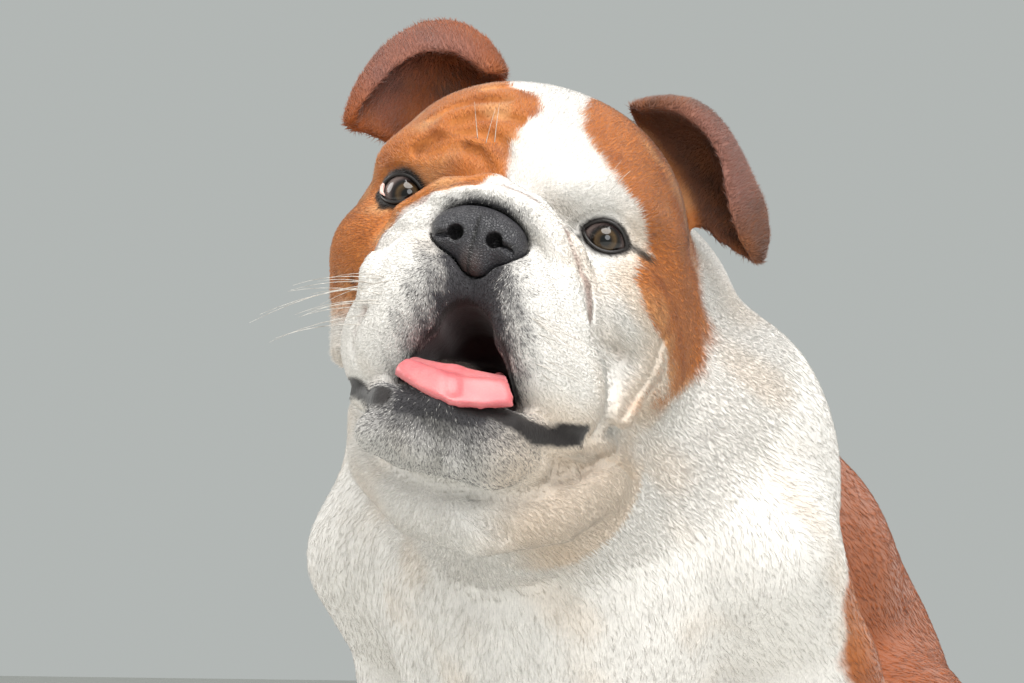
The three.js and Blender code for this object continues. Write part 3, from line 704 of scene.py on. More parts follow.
WHITE = shade(240, 236, 231)
CREAM = shade(232, 208, 182)
ORANGE = shade(199, 122, 58)
PALE_ORANGE = shade(222, 168, 116)
DEEP_ORANGE = shade(158, 84, 36)
RED_BROWN = shade(160, 86, 42)
EAR_BROWN = shade(122, 76, 52)
EAR_RIM = shade(88, 56, 42)
CONCH_PINK = shade(150, 102, 90)
PEPPER_DARK = shade(58, 56, 60)
# Crease colours, darker than the coat: painted shade over the folds' own pink skin, and a painted shade brown
# for folds in the orange patches
FOLD_PINK_AND_SHADE = shade(140, 92, 76)
FOLD_SHADE_BROWN = shade(112, 56, 24)
LIP_BLACK = shade(30, 24, 24)
# Inside of the mouth: near black, painted shadow over the mouth's own red
MOUTH_SHADOW_RED = shade(40, 17, 16)
LID_BLACK = shade(26, 19, 16)
BELLY = shade(222, 200, 182)
NOSE_GREY = shade(60, 59, 64)
NOSE_BROWN = shade(96, 74, 66)
# Nostrils and the nose's middle groove: near black painted shadow
NOSTRIL_SHADOW = shade(14, 11, 11)

# The white blaze: height in the head's frame, and how far across each border lies there
BLAZE_RIGHT_SIDE = [
    (-100, -58), (-80, -59), (-66, -56), (-53, -54), (-40, -53), (-28, -50), (-16, -43), (-9, -33), (-4, -19),
    (1, -3), (10, 2), (18, 0), (29, 1), (41, 0), (54, 7), (64, 2), (72, -20), (90, -16), (130, -10),
]
BLAZE_LEFT_SIDE = [
    (-110, 90), (-90, 92), (-76, 95), (-64, 99), (-46, 99), (-40, 93), (-32, 85), (-20, 78), (-2, 76),
    (12, 73), (19, 68), (26, 58), (36, 49), (43, 40), (51, 32), (68, 24), (90, 20), (130, 14),
]
# The grey of the muzzle: height, middle and half width
GREY_MUZZLE = [(-112, 10, 26), (-104, 14, 33), (-90, 13, 37), (-70, 12, 35), (-51, 9, 31), (-37, 4, 27),
               (-28, 3, 25), (-14, 3, 24), (-4, 3, 18)]
# How far back the white forehand reaches: height, and place along the dog
FOREHAND_EDGE = [(0, 400), (60, 250), (110, 60), (160, 10), (200, -8), (240, -14), (280, 22), (310, 52),
                 (345, 84), (420, 100)]
# Lines with their radii
BLACK_LIPS = [
    ([(-56, -4, -112), (-43, -20, -113), (-32, -40, -121), (-18, -52, -121)], 4.6),
    ([(24, -56, -119), (40, -52, -117), (52, -47, -119), (62, -38, -121), (71, -24, -117),
      (78, -10, -109)], 4.4),
    ([(49, -49, -112), (59, -42, -117), (70, -26, -113), (77, -12, -106)], 3.0),
    ([(-16, -26, -104), (-8, -34, -88), (-2, -35, -75), (5, -36, -66), (18, -38, -70), (31, -45, -82),
      (42, -30, -103)], 3.6),
    ([(-3, -29, -68), (5, -30, -63), (14, -29, -68)], 6.0),
]
EYE_STREAKS = [
    ([(63, -9, 0), (69, -4, -1), (74, 3, -2), (78, 9, -3)], 2.4),
    ([(-66, 2, 4), (-66, 0, -4), (-62, -5, -10)], 3.0),
    ([(-42, -10, -6), (-38, -14, -10)], 2.4),
    ([(44, -8, -6), (39, -14, -9)], 2.2),
]


def soft(low, high, value):
    """0 at low and 1 at high, eased at both ends"""
    share = np.clip((value - low) / (high - low), 0, 1)
    return share * share * (3 - 2 * share)


def wobble(p, size, seed=0.0):
    """A smooth wander between about -1 and 1, with waves about size long"""
    a = np.sin(p @ np.array([0.83, 0.42, 0.36]) * 6.3 / size + seed)
    b = np.sin(p @ np.array([-0.31, 0.78, 0.55]) * 8.9 / size + 2.1 + seed + a)
    c = np.sin(p @ np.array([0.52, -0.44, 0.73]) * 13.1 / size + 4.4 + seed + b)
    return (a + b * 0.7 + c * 0.5) / 2.2


def read_off(line, z, column=1):
    return np.interp(z, [row[0] for row in line], [row[column] for row in line])


def all_over(colour, p):
    return np.tile(colour, (len(p), 1))


def mixed(colour, other, share):
    return colour + (other - colour) * share[:, None]


def mouth_share(h):
    """1 on the walls of the mouth"""
    inside = soft(7, 3, np.abs(blended(MOUTH, sagged(h)))) * soft(-33, -27, h[:, 1])
    palate = (np.abs(h[:, 0] - 10) < 34) & (h[:, 2] < -55) & (h[:, 2] > -124)
    return inside * palate


def bare_share(h):
    """1 where the skin is bare: lid rims, lips and the inside of the mouth"""
    bare = np.zeros(len(h))
    for line, radius in BLACK_LIPS:
        bare = np.maximum(bare, soft(radius + 1.5, radius - 0.5, line_distance(h, line)))
    for eye in (LEFT_EYE, RIGHT_EYE):
        front = (distance_to(h, eye) < EYE_RADIUS + 7) & (h[:, 1] < eye[1])
        bare = np.maximum(bare, soft(2.6, 1.0, almond(h, eye)) * front)
    return np.maximum(bare, mouth_share(h))


def body_colour(p, hair):
    """White forehand and lower legs, red-brown back and haunches"""
    across, along, height = p[:, 0], p[:, 1], p[:, 2]
    edge = read_off(FOREHAND_EDGE, height)
    edge = edge + 12 * wobble(p, 60, 1.3) + 5 * hair + 0.25 * (150 - np.abs(across)) * (height > 260)
    red = soft(-3, 4, along - edge) * soft(34, 52, height + 10 * wobble(p, 40) + 6 * hair)
    belly = soft(120, 60, height) * soft(80, 50, np.abs(across)) * (along < 170)
    back = mixed(all_over(RED_BROWN, p), ORANGE, 0.55 * soft(-0.2, 0.9, wobble(p, 150, 0.5)))
    back = mixed(back, PALE_ORANGE, 0.5 * soft(150, 60, height) * soft(130, 40, along))
    back = mixed(back, DEEP_ORANGE, 0.5 * soft(0.0, 1.0, wobble(p, 90, 3.0)) * soft(120, 300, height))
    colour = mixed(all_over(WHITE, p), CREAM, 0.30 * soft(0.1, 1.0, wobble(p, 70, 2.2)))
    colour = mixed(colour, back, red * (1 - belly))
    return mixed(colour, BELLY, 0.5 * belly)


def with_patches(colour, p, h, hair):
    """Orange patches on both sides of the white blaze, and how much each point lies in them"""
    x, y, z = h.T
    in_head = distance_to(h, (4, 40, -20)) < 190
    limit = np.interp(z, [-85, -20], [48, 86])
    back_edge = soft(7, -7, y - limit + 8 * wobble(p, 45) + 5 * hair) * in_head
    ragged = 2.2 * wobble(p, 16, 1.0) + 3.5 * hair
    left_border = read_off(BLAZE_LEFT_SIDE, z)
    right_patch = soft(-1.5, 1.5, read_off(BLAZE_RIGHT_SIDE, z) - x + ragged)
    right_patch *= soft(-73, -56, z + 0.12 * (y + 8) + 5 * hair + 3 * wobble(p, 20))
    left_patch = soft(-1.5, 1.5, x - left_border + ragged)
    left_patch *= soft(-88, -70, z - 0.25 * (y - 30) + 6 * hair + 4 * wobble(p, 24))
    patch = np.maximum(right_patch, left_patch) * back_edge
    tan = mixed(all_over(ORANGE, p), PALE_ORANGE, 0.65 * soft(0.0, 0.9, wobble(p, 38, 0.3)))
    tan = mixed(tan, PALE_ORANGE, 0.75 * soft(-40, -78, z))
    tan = mixed(tan, DEEP_ORANGE, 0.55 * soft(0.1, 1.0, wobble(p, 26, 5.1)))
    tan = mixed(tan, DEEP_ORANGE, 0.2 * soft(20, 60, y) * soft(-60, 10, z))
    colour = mixed(colour, tan, patch)
    halo = soft(16, 2, np.abs(x - left_border)) * soft(24, 4, z) * (1 - left_patch) * (x > 40)
    colour = mixed(colour, CREAM, 0.55 * halo * back_edge * (z > -110))
    throat = soft(-90, -112, z) * soft(30, 70, x) * in_head * (y < 60)
    return mixed(colour, CREAM, 0.6 * throat), patch


def with_ears(colour, p, h):
    ear = np.linalg.norm(h - ear_anchors(p), axis=1)
    flap = soft(7, 4, ear) * soft(3, 8, blended(UPPER_HEAD, sagged(h)))
    tone = np.where((h[:, 0] > 0)[:, None], EAR_BROWN, DEEP_ORANGE)
    tone = mixed(tone, ORANGE, 0.2 * soft(0, 0.8, wobble(p, 22, 2.0)))
    tone = mixed(tone, EAR_RIM, 0.6 * soft(0.1, 0.9, wobble(p, 30, 4.0)))
    colour = mixed(colour, tone, flap)
    for conch in (LEFT_CONCH, RIGHT_CONCH):
        inner = soft(46, 22, distance_to(h, conch)) * soft(70, 50, h[:, 1])
        colour = mixed(colour, CONCH_PINK, 0.75 * inner * flap)
    return colour


def with_pepper(colour, p, h, chance):
    """Grey, peppered muzzle and chin, and how dark each point is"""
    x, y, z = h.T
    spread = np.abs(x - read_off(GREY_MUZZLE, z)) / read_off(GREY_MUZZLE, z, 2)
    front = soft(-12, -26, y)
    muzzle = soft(1.4, 0.3, spread + 0.15 * wobble(p, 12)) * front * soft(-1, -9, z) * soft(-122, -108, z)
    chin_front = soft(-16, -30, y) * soft(-106, -114, z) * soft(-166, -146, z)
    chin = soft(1.5, 0.4, np.abs(x - 14) / 46) * chin_front * (0.45 + 0.5 * soft(-150, -124, z))
    dark = np.maximum(muzzle, chin)
    fleck = np.where(chance < dark, 1.0, 0.0) * 0.8 + 0.2 * dark
    return mixed(colour, PEPPER_DARK, np.clip(fleck, 0, 1) * soft(0.02, 0.3, dark)), dark


def with_folds_and_rims(colour, h, patch, dark):
    """Pinkish folds darkened with painted shade, dark lids and lips, and the mouth painted near black as
    painted shadow
    """
    x, y, z = h.T
    fold = np.zeros(len(h))
    for line, radius in CREASES:
        fold = np.maximum(fold, soft(radius + 1.6, radius - 1.2, line_distance(h, line)))
    fold *= (1 - np.clip(2 * dark, 0, 1)) * (1 - soft(-56, -60, z) * (np.abs(x - 5) < 22))
    # The creases are painted darker, pink on the white and brown on the orange: their own pinkish skin with
    # painted shade
    colour = mixed(colour, FOLD_PINK_AND_SHADE, 0.6 * fold * (1 - patch))
    colour = mixed(colour, FOLD_SHADE_BROWN, 0.75 * fold * patch)
    flattened = (1, 0.2, 1)
    for line, radius in EYE_STREAKS:
        away = line_distance(h * flattened, np.array(line) * flattened)
        colour = mixed(colour, LID_BLACK, 0.9 * soft(radius + 1.2, radius - 1, away) * (y < 24))
    for line, radius in BLACK_LIPS:
        colour = mixed(colour, LIP_BLACK, soft(radius + 2.0, radius, line_distance(h, line)))
    for eye, outer, inner in ((LEFT_EYE, 4.2, 1.6), (RIGHT_EYE, 6.0, 2.6)):
        near = (distance_to(h, eye) < EYE_RADIUS + 8) & (y < eye[1] + 2)
        colour = mixed(colour, LID_BLACK, soft(outer, inner, almond(h, eye)) * near)
    # The walls of the mouth are painted near black: painted shadow over their own red
    return mixed(colour, MOUTH_SHADOW_RED, mouth_share(h))


def coat_colour(p, chance):
    """Linear colours at points p. chance, from 0 to 1, picks single hairs where the coat is mixed"""
    h = to_head(p)
    hair = chance - 0.5
    colour, patch = with_patches(body_colour(p, hair), p, h, hair)
    colour, dark = with_pepper(with_ears(colour, p, h), p, h, chance)
    return with_folds_and_rims(colour, h, patch, dark)


def average_colour(p):
    steps = [0.1, 0.3, 0.5, 0.7, 0.9]
    return sum(coat_colour(p, np.full(len(p), step)) for step in steps) / len(steps)


def colour_attribute(mesh, colours):
    layer = mesh.attributes.new("coat", "FLOAT_COLOR", "POINT")
    layer.data.foreach_set("color", np.column_stack([colours, np.ones(len(colours))]).ravel())


def unwrapped(piece):
    """Lay the piece's own surface out flat in its map"""
    piece.data.uv_layers.new(name="OFBake")
    bpy.context.view_layer.objects.active = piece
    piece.select_set(True)
    bpy.ops.object.mode_set(mode="EDIT")
    bpy.ops.mesh.select_all(action="SELECT")
    bpy.ops.uv.smart_project(angle_limit=math.radians(66), island_margin=0.001)
    bpy.ops.object.mode_set(mode="OBJECT")
    piece.select_set(False)


colour_attribute(skin.data, average_colour(skin_points))
unwrapped(skin)


# Coat: short tufts, rooted on the skin and lying along it. Their number for each square millimetre, then
# their lengths and widths
HEAD_TUFTS = 1.3
BODY_TUFTS = 0.15
PAW_TUFTS = 0.3
BODY_LENGTH = 6.8
HEAD_LENGTH = 4.4
PAW_LENGTH = 4.0
MUZZLE_SHORTER = 2.2
BODY_WIDTH = 0.5
HEAD_WIDTH = 0.40
TUFTS_PER_PIECE = 48000
TUFT_FACES = np.array([(0, 1, 3), (1, 2, 3), (2, 0, 3), (0, 2, 1)])
TUFT_TONES = (0.9, 0.9, 1.0, 1.06)
TUFT_PATCH = 0.0015 * np.array([(-1, -1), (1, -1), (0, 1), (0, 0)])


def lie_of_coat(p, h):
    """The way the hair points: down and back on the body, out from the middle of the face"""
    side = np.sign(p[:, 0])
    up = np.clip(p[:, 2] / 300, 0, 1)
    body = np.stack([0.15 * side, 0.55 + 0.5 * up - 0.9 * (p[:, 1] < -60), -1.0 + 0.4 * up], axis=1)
    body[p[:, 2] < 45] = (0, -0.9, -0.35)
    neck = soft(300, 380, p[:, 2])[:, None]
    body = body * (1 - neck) + np.stack([0.3 * side, 0.5 + 0 * side, -0.9 + 0 * side], axis=1) * neck
    out = np.clip((h[:, 0] - 6) / 40, -1.4, 1.4)
    brow = np.stack([0.35 * out, 0.5 + 0 * out, 0.8 + 0 * out], axis=1)
    cheek = np.stack([0.75 * out, 0.7 + 0 * out, -0.55 + 0 * out], axis=1)
    lift = soft(-6, 22, h[:, 2])[:, None]
    head = (cheek * (1 - lift) + brow * lift) @ HEAD_TURNED.T
    near = soft(185, 150, distance_to(h, (4, 30, -25)))[:, None]
    return body * (1 - near) + head * near


def triangle_corners(mesh):
    """The vertices at each triangle's corners, and their places on the unwrap"""
    mesh.calc_loop_triangles()
    corner = np.empty(len(mesh.loop_triangles) * 3, int)
    mesh.loop_triangles.foreach_get("vertices", corner)
    loop = np.empty(len(mesh.loop_triangles) * 3, int)
    mesh.loop_triangles.foreach_get("loops", loop)
    place = np.empty(len(mesh.loops) * 2)
    mesh.uv_layers["OFBake"].data.foreach_get("uv", place)
    return corner.reshape(-1, 3), place.reshape(-1, 2)[loop.reshape(-1, 3)]


def tuft_roots(mesh, points):
    """Roots spread over the skin: their points, outward directions, places on the unwrap, and how much
    each is on the head and on a paw"""
    corner, place = triangle_corners(mesh)
    a, b, c = points[corner[:, 0]], points[corner[:, 1]], points[corner[:, 2]]
    area = np.linalg.norm(np.cross(b - a, c - a), axis=1) / 2
    middle = (a + b + c) / 3
    middle_h = to_head(middle)
    on_head = soft(172, 150, distance_to(middle_h, (4, 30, -25)))
    on_paw = soft(56, 40, middle[:, 2])
    density = BODY_TUFTS + (HEAD_TUFTS - BODY_TUFTS) * on_head + (PAW_TUFTS - BODY_TUFTS) * on_paw
    density *= 1 - bare_share(middle_h)
    density *= middle[:, 2] > 1.5
    amount = np.floor(area * density + draw.random(len(area))).astype(int)
    triangle = np.repeat(np.arange(len(area)), amount)
    u, v = draw.random(len(triangle)), draw.random(len(triangle))
    flip = u + v > 1
    u[flip], v[flip] = 1 - u[flip], 1 - v[flip]
    weights = np.stack([1 - u - v, u, v], axis=1)

    def spread_over(at_corners):
        return (at_corners[triangle] * weights[:, :, None]).sum(axis=1)

    out = spread_over(vertex_normals(mesh)[corner])
    out /= np.linalg.norm(out, axis=1)[:, None]
    return spread_over(points[corner]), out, spread_over(place), on_head[triangle], on_paw[triangle]


def tuft_points(root, out, on_head, on_paw):
    """Four points a tuft: two at the sides of its root, one over it, and its tip"""
    h = to_head(root)
    count = len(root)
    lie = lie_of_coat(root, h) + 0.16 * draw.normal(size=(count, 3))
    lie -= (lie * out).sum(axis=1)[:, None] * out
    lie /= np.maximum(np.linalg.norm(lie, axis=1), 1e-6)[:, None]
    eye_near = np.minimum(distance_to(h, LEFT_EYE), distance_to(h, RIGHT_EYE))
    length = BODY_LENGTH + (HEAD_LENGTH - BODY_LENGTH) * on_head
    length += (PAW_LENGTH - BODY_LENGTH) * on_paw * (1 - on_head)
    length -= MUZZLE_SHORTER * soft(0, -30, h[:, 1]) * on_head
    length *= 1 - 0.45 * soft(24, 15, eye_near)
    length *= 0.75 + 0.5 * draw.random(count)
    width = BODY_WIDTH + (HEAD_WIDTH - BODY_WIDTH) * on_head
    width *= 0.8 + 0.4 * draw.random(count)
    rise = np.radians(2 + 5 * on_head + 4 * draw.random(count))
    tip = root + length[:, None] * (np.cos(rise)[:, None] * lie + np.sin(rise)[:, None] * out)
    base = root - 0.35 * out
    half = np.cross(lie, out) * (width / 2)[:, None]
    high = out * (width * 0.22)[:, None]
    made = np.stack([base - half, base + half, base + high + 0.35 * out, tip], axis=1)
    made[:, :, 2] = np.maximum(made[:, :, 2], TUFT_CLEARANCE)
    return made


def tuft_mesh(name, tufts, tones, places):
    faces = (TUFT_FACES[None] + 4 * np.arange(len(tufts))[:, None, None]).reshape(-1, 3)
    mesh = bpy.data.meshes.new(name)
    mesh.vertices.add(4 * len(tufts))
    mesh.vertices.foreach_set("co", placed(tufts.reshape(-1, 3)).ravel())
    mesh.loops.add(faces.size)
    mesh.loops.foreach_set("vertex_index", faces.ravel())
    mesh.polygons.add(len(faces))
    mesh.polygons.foreach_set("loop_start", np.arange(0, faces.size, 3))
    mesh.update(calc_edges=True)
    patches = places[:, None, None] + TUFT_PATCH[TUFT_FACES][None]
    mesh.uv_layers.new(name="OFBake").data.foreach_set("uv", patches.ravel())
    colour_attribute(mesh, np.stack([tones * share for share in TUFT_TONES], axis=1).reshape(-1, 3))
    return mesh


def coat_of_tufts():
    """The coat in pieces, the head's tufts first"""
    root, out, place, on_head, on_paw = tuft_roots(skin.data, skin_points)
    tufts = tuft_points(root, out, on_head, on_paw)
    tone = coat_colour(root, draw.random(len(root)))
    tone *= (1 + (0.10 + 0.08 * on_head) * (draw.random(len(root)) - 0.5))[:, None]
    tone = np.clip(tone, 0, 0.95)
    order = np.argsort(-on_head, kind="stable")
    pieces = []
    for number, start in enumerate(range(0, len(root), TUFTS_PER_PIECE), 1):
        part = order[start:start + TUFTS_PER_PIECE]
        name = f"coat_{number}"
        pieces.append(fresh(name, tuft_mesh(name, tufts[part], tone[part], place[part])))
    return pieces


coat_pieces = coat_of_tufts()


# Eyes, lid rims, haw, nose, tongue, claws and whiskers

def strand(name, lines, resolution, cyclic=False):
    """One mesh of round strands. Each line is a list of points in millimetres with a radius for each"""
    curve = bpy.data.curves.new(name, "CURVE")
    curve.dimensions = "3D"
    curve.bevel_depth = 1.0
    curve.bevel_resolution = resolution
    curve.use_fill_caps = not cyclic
    for line, radii in lines:
        stretch = curve.splines.new("POLY")
        stretch.points.add(len(line) - 1)
        for point, at, radius in zip(stretch.points, placed(line), radii):
            point.co = (*at, 1)
            point.radius = radius / 1000
        stretch.use_cyclic_u = cyclic
    made = applied(fresh(name + "_line", curve), name)
    smooth_faces(made)
    return fresh(name, made)


CORNEA_REACH = 0.62
CORNEA_RISE = 0.7
EYE_CLEARANCE = 0.15


def eyeball(name, eye, turn):
    """A ball with a raised cornea that looks at the viewer. The attribute ring is the angle from its gaze"""
    gaze = TO_VIEWER + Vector(turn)
    gaze.normalize()
    ball_mesh = bmesh.new()
    bmesh.ops.create_uvsphere(ball_mesh, u_segments=64, v_segments=48, radius=1)
    for vert in ball_mesh.verts:
        angle = vert.co.angle(Vector((0, 0, 1)))
        bulge = max(0, 1 - (angle / CORNEA_REACH) ** 2)
        vert.co *= (EYE_RADIUS - EYE_CLEARANCE + CORNEA_RISE * bulge) / 1000
    turn_to_gaze = gaze.to_track_quat("Z", "Y").to_matrix().to_4x4()
    centre = Vector(placed(from_head(np.array([eye])))[0])
    bmesh.ops.transform(ball_mesh, matrix=Matrix.Translation(centre) @ turn_to_gaze, verts=ball_mesh.verts)
    made = bpy.data.meshes.new(name)
    ball_mesh.to_mesh(made)
    ball_mesh.free()
    smooth_faces(made)
    ring = made.attributes.new("ring", "FLOAT", "POINT")
    for vert, value in zip(made.vertices, ring.data):
        value.value = (vert.co - centre).angle(gaze)
    return fresh(name, made)


LID_STEPS = 48
LID_GROW = 0.5
LID_RIM_RADIUS = 1.0
LID_RIM_LIFT = 0.9


def lid_line(eye):
    """The edge of the lids' opening, on a ball a little larger than the eye"""
    turn, lean = lid_angles(eye)
    radius, shift = opening_circles()
    radius += LID_GROW
    limit = math.atan2(math.sqrt(radius ** 2 - shift ** 2), shift)
    angles = np.linspace(-limit, limit, LID_STEPS // 2, endpoint=False)
    upper = [(radius * math.sin(t), radius * math.cos(t) - shift) for t in angles]
    lower = [(-across, -up) for across, up in upper]
    line = []
    for across, up in [*upper, *lower]:
        x = across * math.cos(lean) + up * math.sin(lean)
        z = -across * math.sin(lean) + up * math.cos(lean)
        forward = math.sqrt(max((EYE_RADIUS + LID_RIM_LIFT) ** 2 - x * x - z * z, 0))
        line.append(eye + np.array([x * math.cos(turn) + forward * math.sin(turn),
                                    x * math.sin(turn) - forward * math.cos(turn), z]))
    return from_head(np.array(line))


def lid_rims_piece():
    radii = [LID_RIM_RADIUS] * LID_STEPS
    return strand("lid_rims", [(lid_line(eye), radii) for eye in (LEFT_EYE, RIGHT_EYE)], 3, cyclic=True)


def haw_piece():
    """The pink inner lid at the outer corner of the right eye"""
    line = np.array([(-12.3, -5.2, 4.0), (-12.2, -6.6, 0), (-11.2, -8.0, -3.4), (-8.6, -9.4, -5.2)])
    return strand("haws", [(from_head(RIGHT_EYE + line), (0.3, 1.3, 1.1, 0.3))], 3)


def carried(name, node, voxel, field, steps):
    """A smooth, finer copy of a solid, drawn onto its form"""
    mesh = remeshed(swollen_copy([node], 0), voxel, name)
    points, edges = mesh_arrays(mesh)
    for _ in range(steps):
        here = field(points)
        points = points + capped_move(here, slope_of(field, points, here, 0.3), 0.2, 1.0)
        put_back(mesh, points)
        points = relaxed(points, edges, vertex_normals(mesh), 0.4)
    points = calmed(points, edges, 6, 0.35)
    put_back(mesh, points)
    smooth_faces(mesh)
    return fresh(name, mesh), points, edges


NOSE_MIDDLE = 3.5
NOSTRIL_BLEND = 1.2


def nostril(side):
    """A round hole, and the slit that runs out and back from it"""
    slit = [(NOSE_MIDDLE + side * x, y, z) for x, y, z in ((12, -48, -29), (18, -46, -30), (22.5, -40, -27))]
    return [ball((NOSE_MIDDLE + side * 10.5, -47, -28), (4.3, 10, 4.0), NOSTRIL_BLEND),
            limb(slit, (1.6, 1.3, 0.9), NOSTRIL_BLEND)]


NOSTRILS = [*nostril(-1), *nostril(1)]


def nose_form(p):
    h = to_head(p)
    return blended([carve(form) for form in NOSTRILS], h, blended(NOSE, sagged(h)))


def nose_colour(h):
    """Grey leather, brown at the foot of its middle groove, and near black painted shadow in the nostrils and
    the groove
    """
    opening = np.min([form[0](h) for form in NOSTRILS], axis=0)
    # Painted shadow: near black in the nostril holes and along the middle groove
    dark = soft(1.5, -0.6, opening) * soft(-49, -44, h[:, 1])
    aside = np.abs(h[:, 0] - NOSE_MIDDLE)
    brown = soft(9, 2, aside) * soft(-30, -44, h[:, 2])
    dark = np.maximum(dark, 0.8 * soft(1.6, 0.5, aside) * soft(-12, -20, h[:, 2]))
    return mixed(mixed(all_over(NOSE_GREY, h), NOSE_BROWN, 0.55 * brown), NOSTRIL_SHADOW, dark)


def nose_piece():
    nose, points, _ = carried("nose_leather", "nose", 0.0009, nose_form, 4)
    colour_attribute(nose.data, nose_colour(to_head(points)))
    return nose


tongue_tree, _ = sheet_tree(TONGUE)


def tongue_form(p):
    h = to_head(p)
    anchors = np.array([tongue_tree.find_nearest(at)[0] for at in h])
    groove = limb(TONGUE_GROOVE, (1.8, 2.0, 2.2, 1.5), 4)[0](h)
    return -smooth_min(TONGUE_THICKNESS / 2 - distance_to(h, anchors), groove, 5)


def tongue_piece():
    tongue, points, edges = carried("tongue_flesh", "tongue", 0.0013, tongue_form, 6)
    for _ in range(8):
        points = relaxed(points, edges, np.zeros_like(points), 0.5)
    put_back(tongue.data, points)
    return tongue


def claws_piece():
    """One claw at the front of each toe. Its shape is how far forward, how high and how thick it is"""
    shape = ((6, 12.5, 3.0), (11, 11.5, 2.9), (14.5, 8.5, 2.3), (16.5, 4.5, 1.4), (17, 2.2, 0.4))
    lines = []
    for side in (-1, 1):
        for x, y in (*toe_places(*FORE_PAW), *toe_places(*HIND_PAW)):
            line = [(side * x, y - forward, height) for forward, height, _ in shape]
            lines.append((np.array(line), [radius for _, _, radius in shape]))
    return strand("claws", lines, 4)


def whisker_root(h):
    """The nearest place just under the surface of the skin"""
    at = from_head(np.array([h]))
    for _ in range(12):
        here, slope = flesh_slope(at)
        at = at - (here + COAT_DEPTH + 0.6)[:, None] * slope
    return at


def whiskers_piece():
    """Whiskers of both lips, rooted between two corners of a box, and the long hairs over the eyes"""
    lines = []
    steps = np.linspace(0, 1, 7)[:, None]
    for side, amount, low, high in ((-1, 15, (-46, -40, -88), (-28, -52, -58)),
                                    (1, 13, (34, -52, -92), (52, -44, -60))):
        for _ in range(amount):
            root = whisker_root(np.array(low) + (np.array(high) - low) * draw.random(3))
            aim = np.array((0.9, -0.1, -0.35)) + np.array((0.3, 0.4, 0.5)) * draw.random(3)
            away = from_head(np.array([aim * (side, 1, 1)])) - HEAD_AT
            reach = 30 + 26 * draw.random()
            droop = np.array([(0, 0, 1)]) * reach * 0.22 * steps ** 2
            lines.append((root + away * reach * steps - droop, 0.26 - 0.2 * steps[:, 0]))
    steps = np.linspace(0, 1, 6)[:, None]
    bend = np.array([(0, 0.3, -0.1)]) * 12 * steps ** 2
    for at, away in (((-14, -16, 32), (0.1, -0.55, 0.85)), ((-10, -16, 34), (-0.05, -0.5, 0.9)),
                     ((-20, -15, 34), (-0.2, -0.6, 0.8)), ((52, -12, 22), (0.4, -0.6, 0.7)),
                     ((56, -11, 20), (0.5, -0.6, 0.6))):
        hair = np.array(at) + np.array(away) * (22 * steps - 2) + bend
        lines.append((from_head(hair), 0.24 - 0.17 * steps[:, 0]))
    return strand("whiskers", lines, 0)


# Materials

class Finish:
    """A material built of linked nodes"""

    def __init__(self, name):
        self.material = bpy.data.materials.new(name)
        self.material.use_nodes = True
        self.nodes = self.material.node_tree.nodes
        self.shader = self.nodes["Principled BSDF"]

    def set(self, socket, value):
        if isinstance(value, bpy.types.NodeSocket):
            self.material.node_tree.links.new(value, socket)
        else:
            socket.default_value = value

    def node(self, kind, **inputs):
        made = self.nodes.new("ShaderNode" + kind)
        for name, value in inputs.items():
            self.set(made.inputs[name.replace("_", " ")], value)
        return made

    def surface(self, **inputs):
        for name, value in inputs.items():
            self.set(self.shader.inputs[name.replace("_", " ")], value)

    def place(self):
        return self.node("TexCoord").outputs["Object"]

    def attribute(self, name, output="Color"):
        found = self.node("Attribute")
        found.attribute_name = name
        return found.outputs[output]

    def noise(self, scale, detail=4.0, roughness=0.6, vector=None):
        vector = vector or self.place()
        made = self.node("TexNoise", Vector=vector, Scale=scale, Detail=detail, Roughness=roughness)
        return made.outputs["Fac"]

    def ramp(self, value, stops):
        made = self.node("ValToRGB", Fac=value)
        ramp = made.color_ramp
        for _ in stops[2:]:
            ramp.elements.new(0.5)
        for element, (at, colour) in zip(ramp.elements, stops):
            element.position = at
            element.color = (*colour, 1)
        return made.outputs["Color"]

    def greys(self, value, low, high, start=0.3, end=0.7):
        return self.ramp(value, [(start, (low,) * 3), (end, (high,) * 3)])

    def multiplied(self, colour, other, share=1.0):
        made = self.node("Mix")
        made.data_type = "RGBA"
        made.blend_type = "MULTIPLY"
        made.inputs[0].default_value = share
        self.set(made.inputs[6], colour)
        self.set(made.inputs[7], other)
        return made.outputs[2]

    def bumped(self, height, strength, distance, normal=None):
        made = self.node("Bump", Height=height, Strength=strength, Distance=distance)
        if normal is not None:
            self.set(made.inputs["Normal"], normal)
        return made.outputs["Normal"]


def skin_finish():
    finish = Finish("short_coat_ground")
    lay = finish.node("Mapping", Vector=finish.place(), Scale=(1.0, 1.0, 0.2)).outputs["Vector"]
    hair = finish.noise(1300.0, 3.0, 0.7, lay)
    patchy = finish.noise(70.0)
    tone = finish.multiplied(finish.attribute("coat"), finish.greys(hair, 0.72, 1.0))
    tone = finish.multiplied(tone, finish.greys(patchy, 0.86, 1.0, end=0.65))
    finish.surface(Base_Color=tone, Roughness=finish.greys(patchy, 0.55, 0.7), Sheen_Weight=0.25,
                   Sheen_Roughness=0.4, Specular_IOR_Level=0.35,
                   Normal=finish.bumped(hair, 0.35, 0.0008, finish.bumped(patchy, 0.3, 0.002)))
    return finish.material


def hair_finish():
    finish = Finish("short_hair")
    streak = finish.noise(900.0, 3.0)
    patchy = finish.noise(60.0, 3.0, 0.5)
    tone = finish.multiplied(finish.attribute("coat"), finish.greys(streak, 0.84, 1.0, start=0.25))
    finish.surface(Base_Color=tone, Roughness=finish.greys(patchy, 0.62, 0.75), Sheen_Weight=0.15,
                   Sheen_Roughness=0.5, Specular_IOR_Level=0.18)
    return finish.material


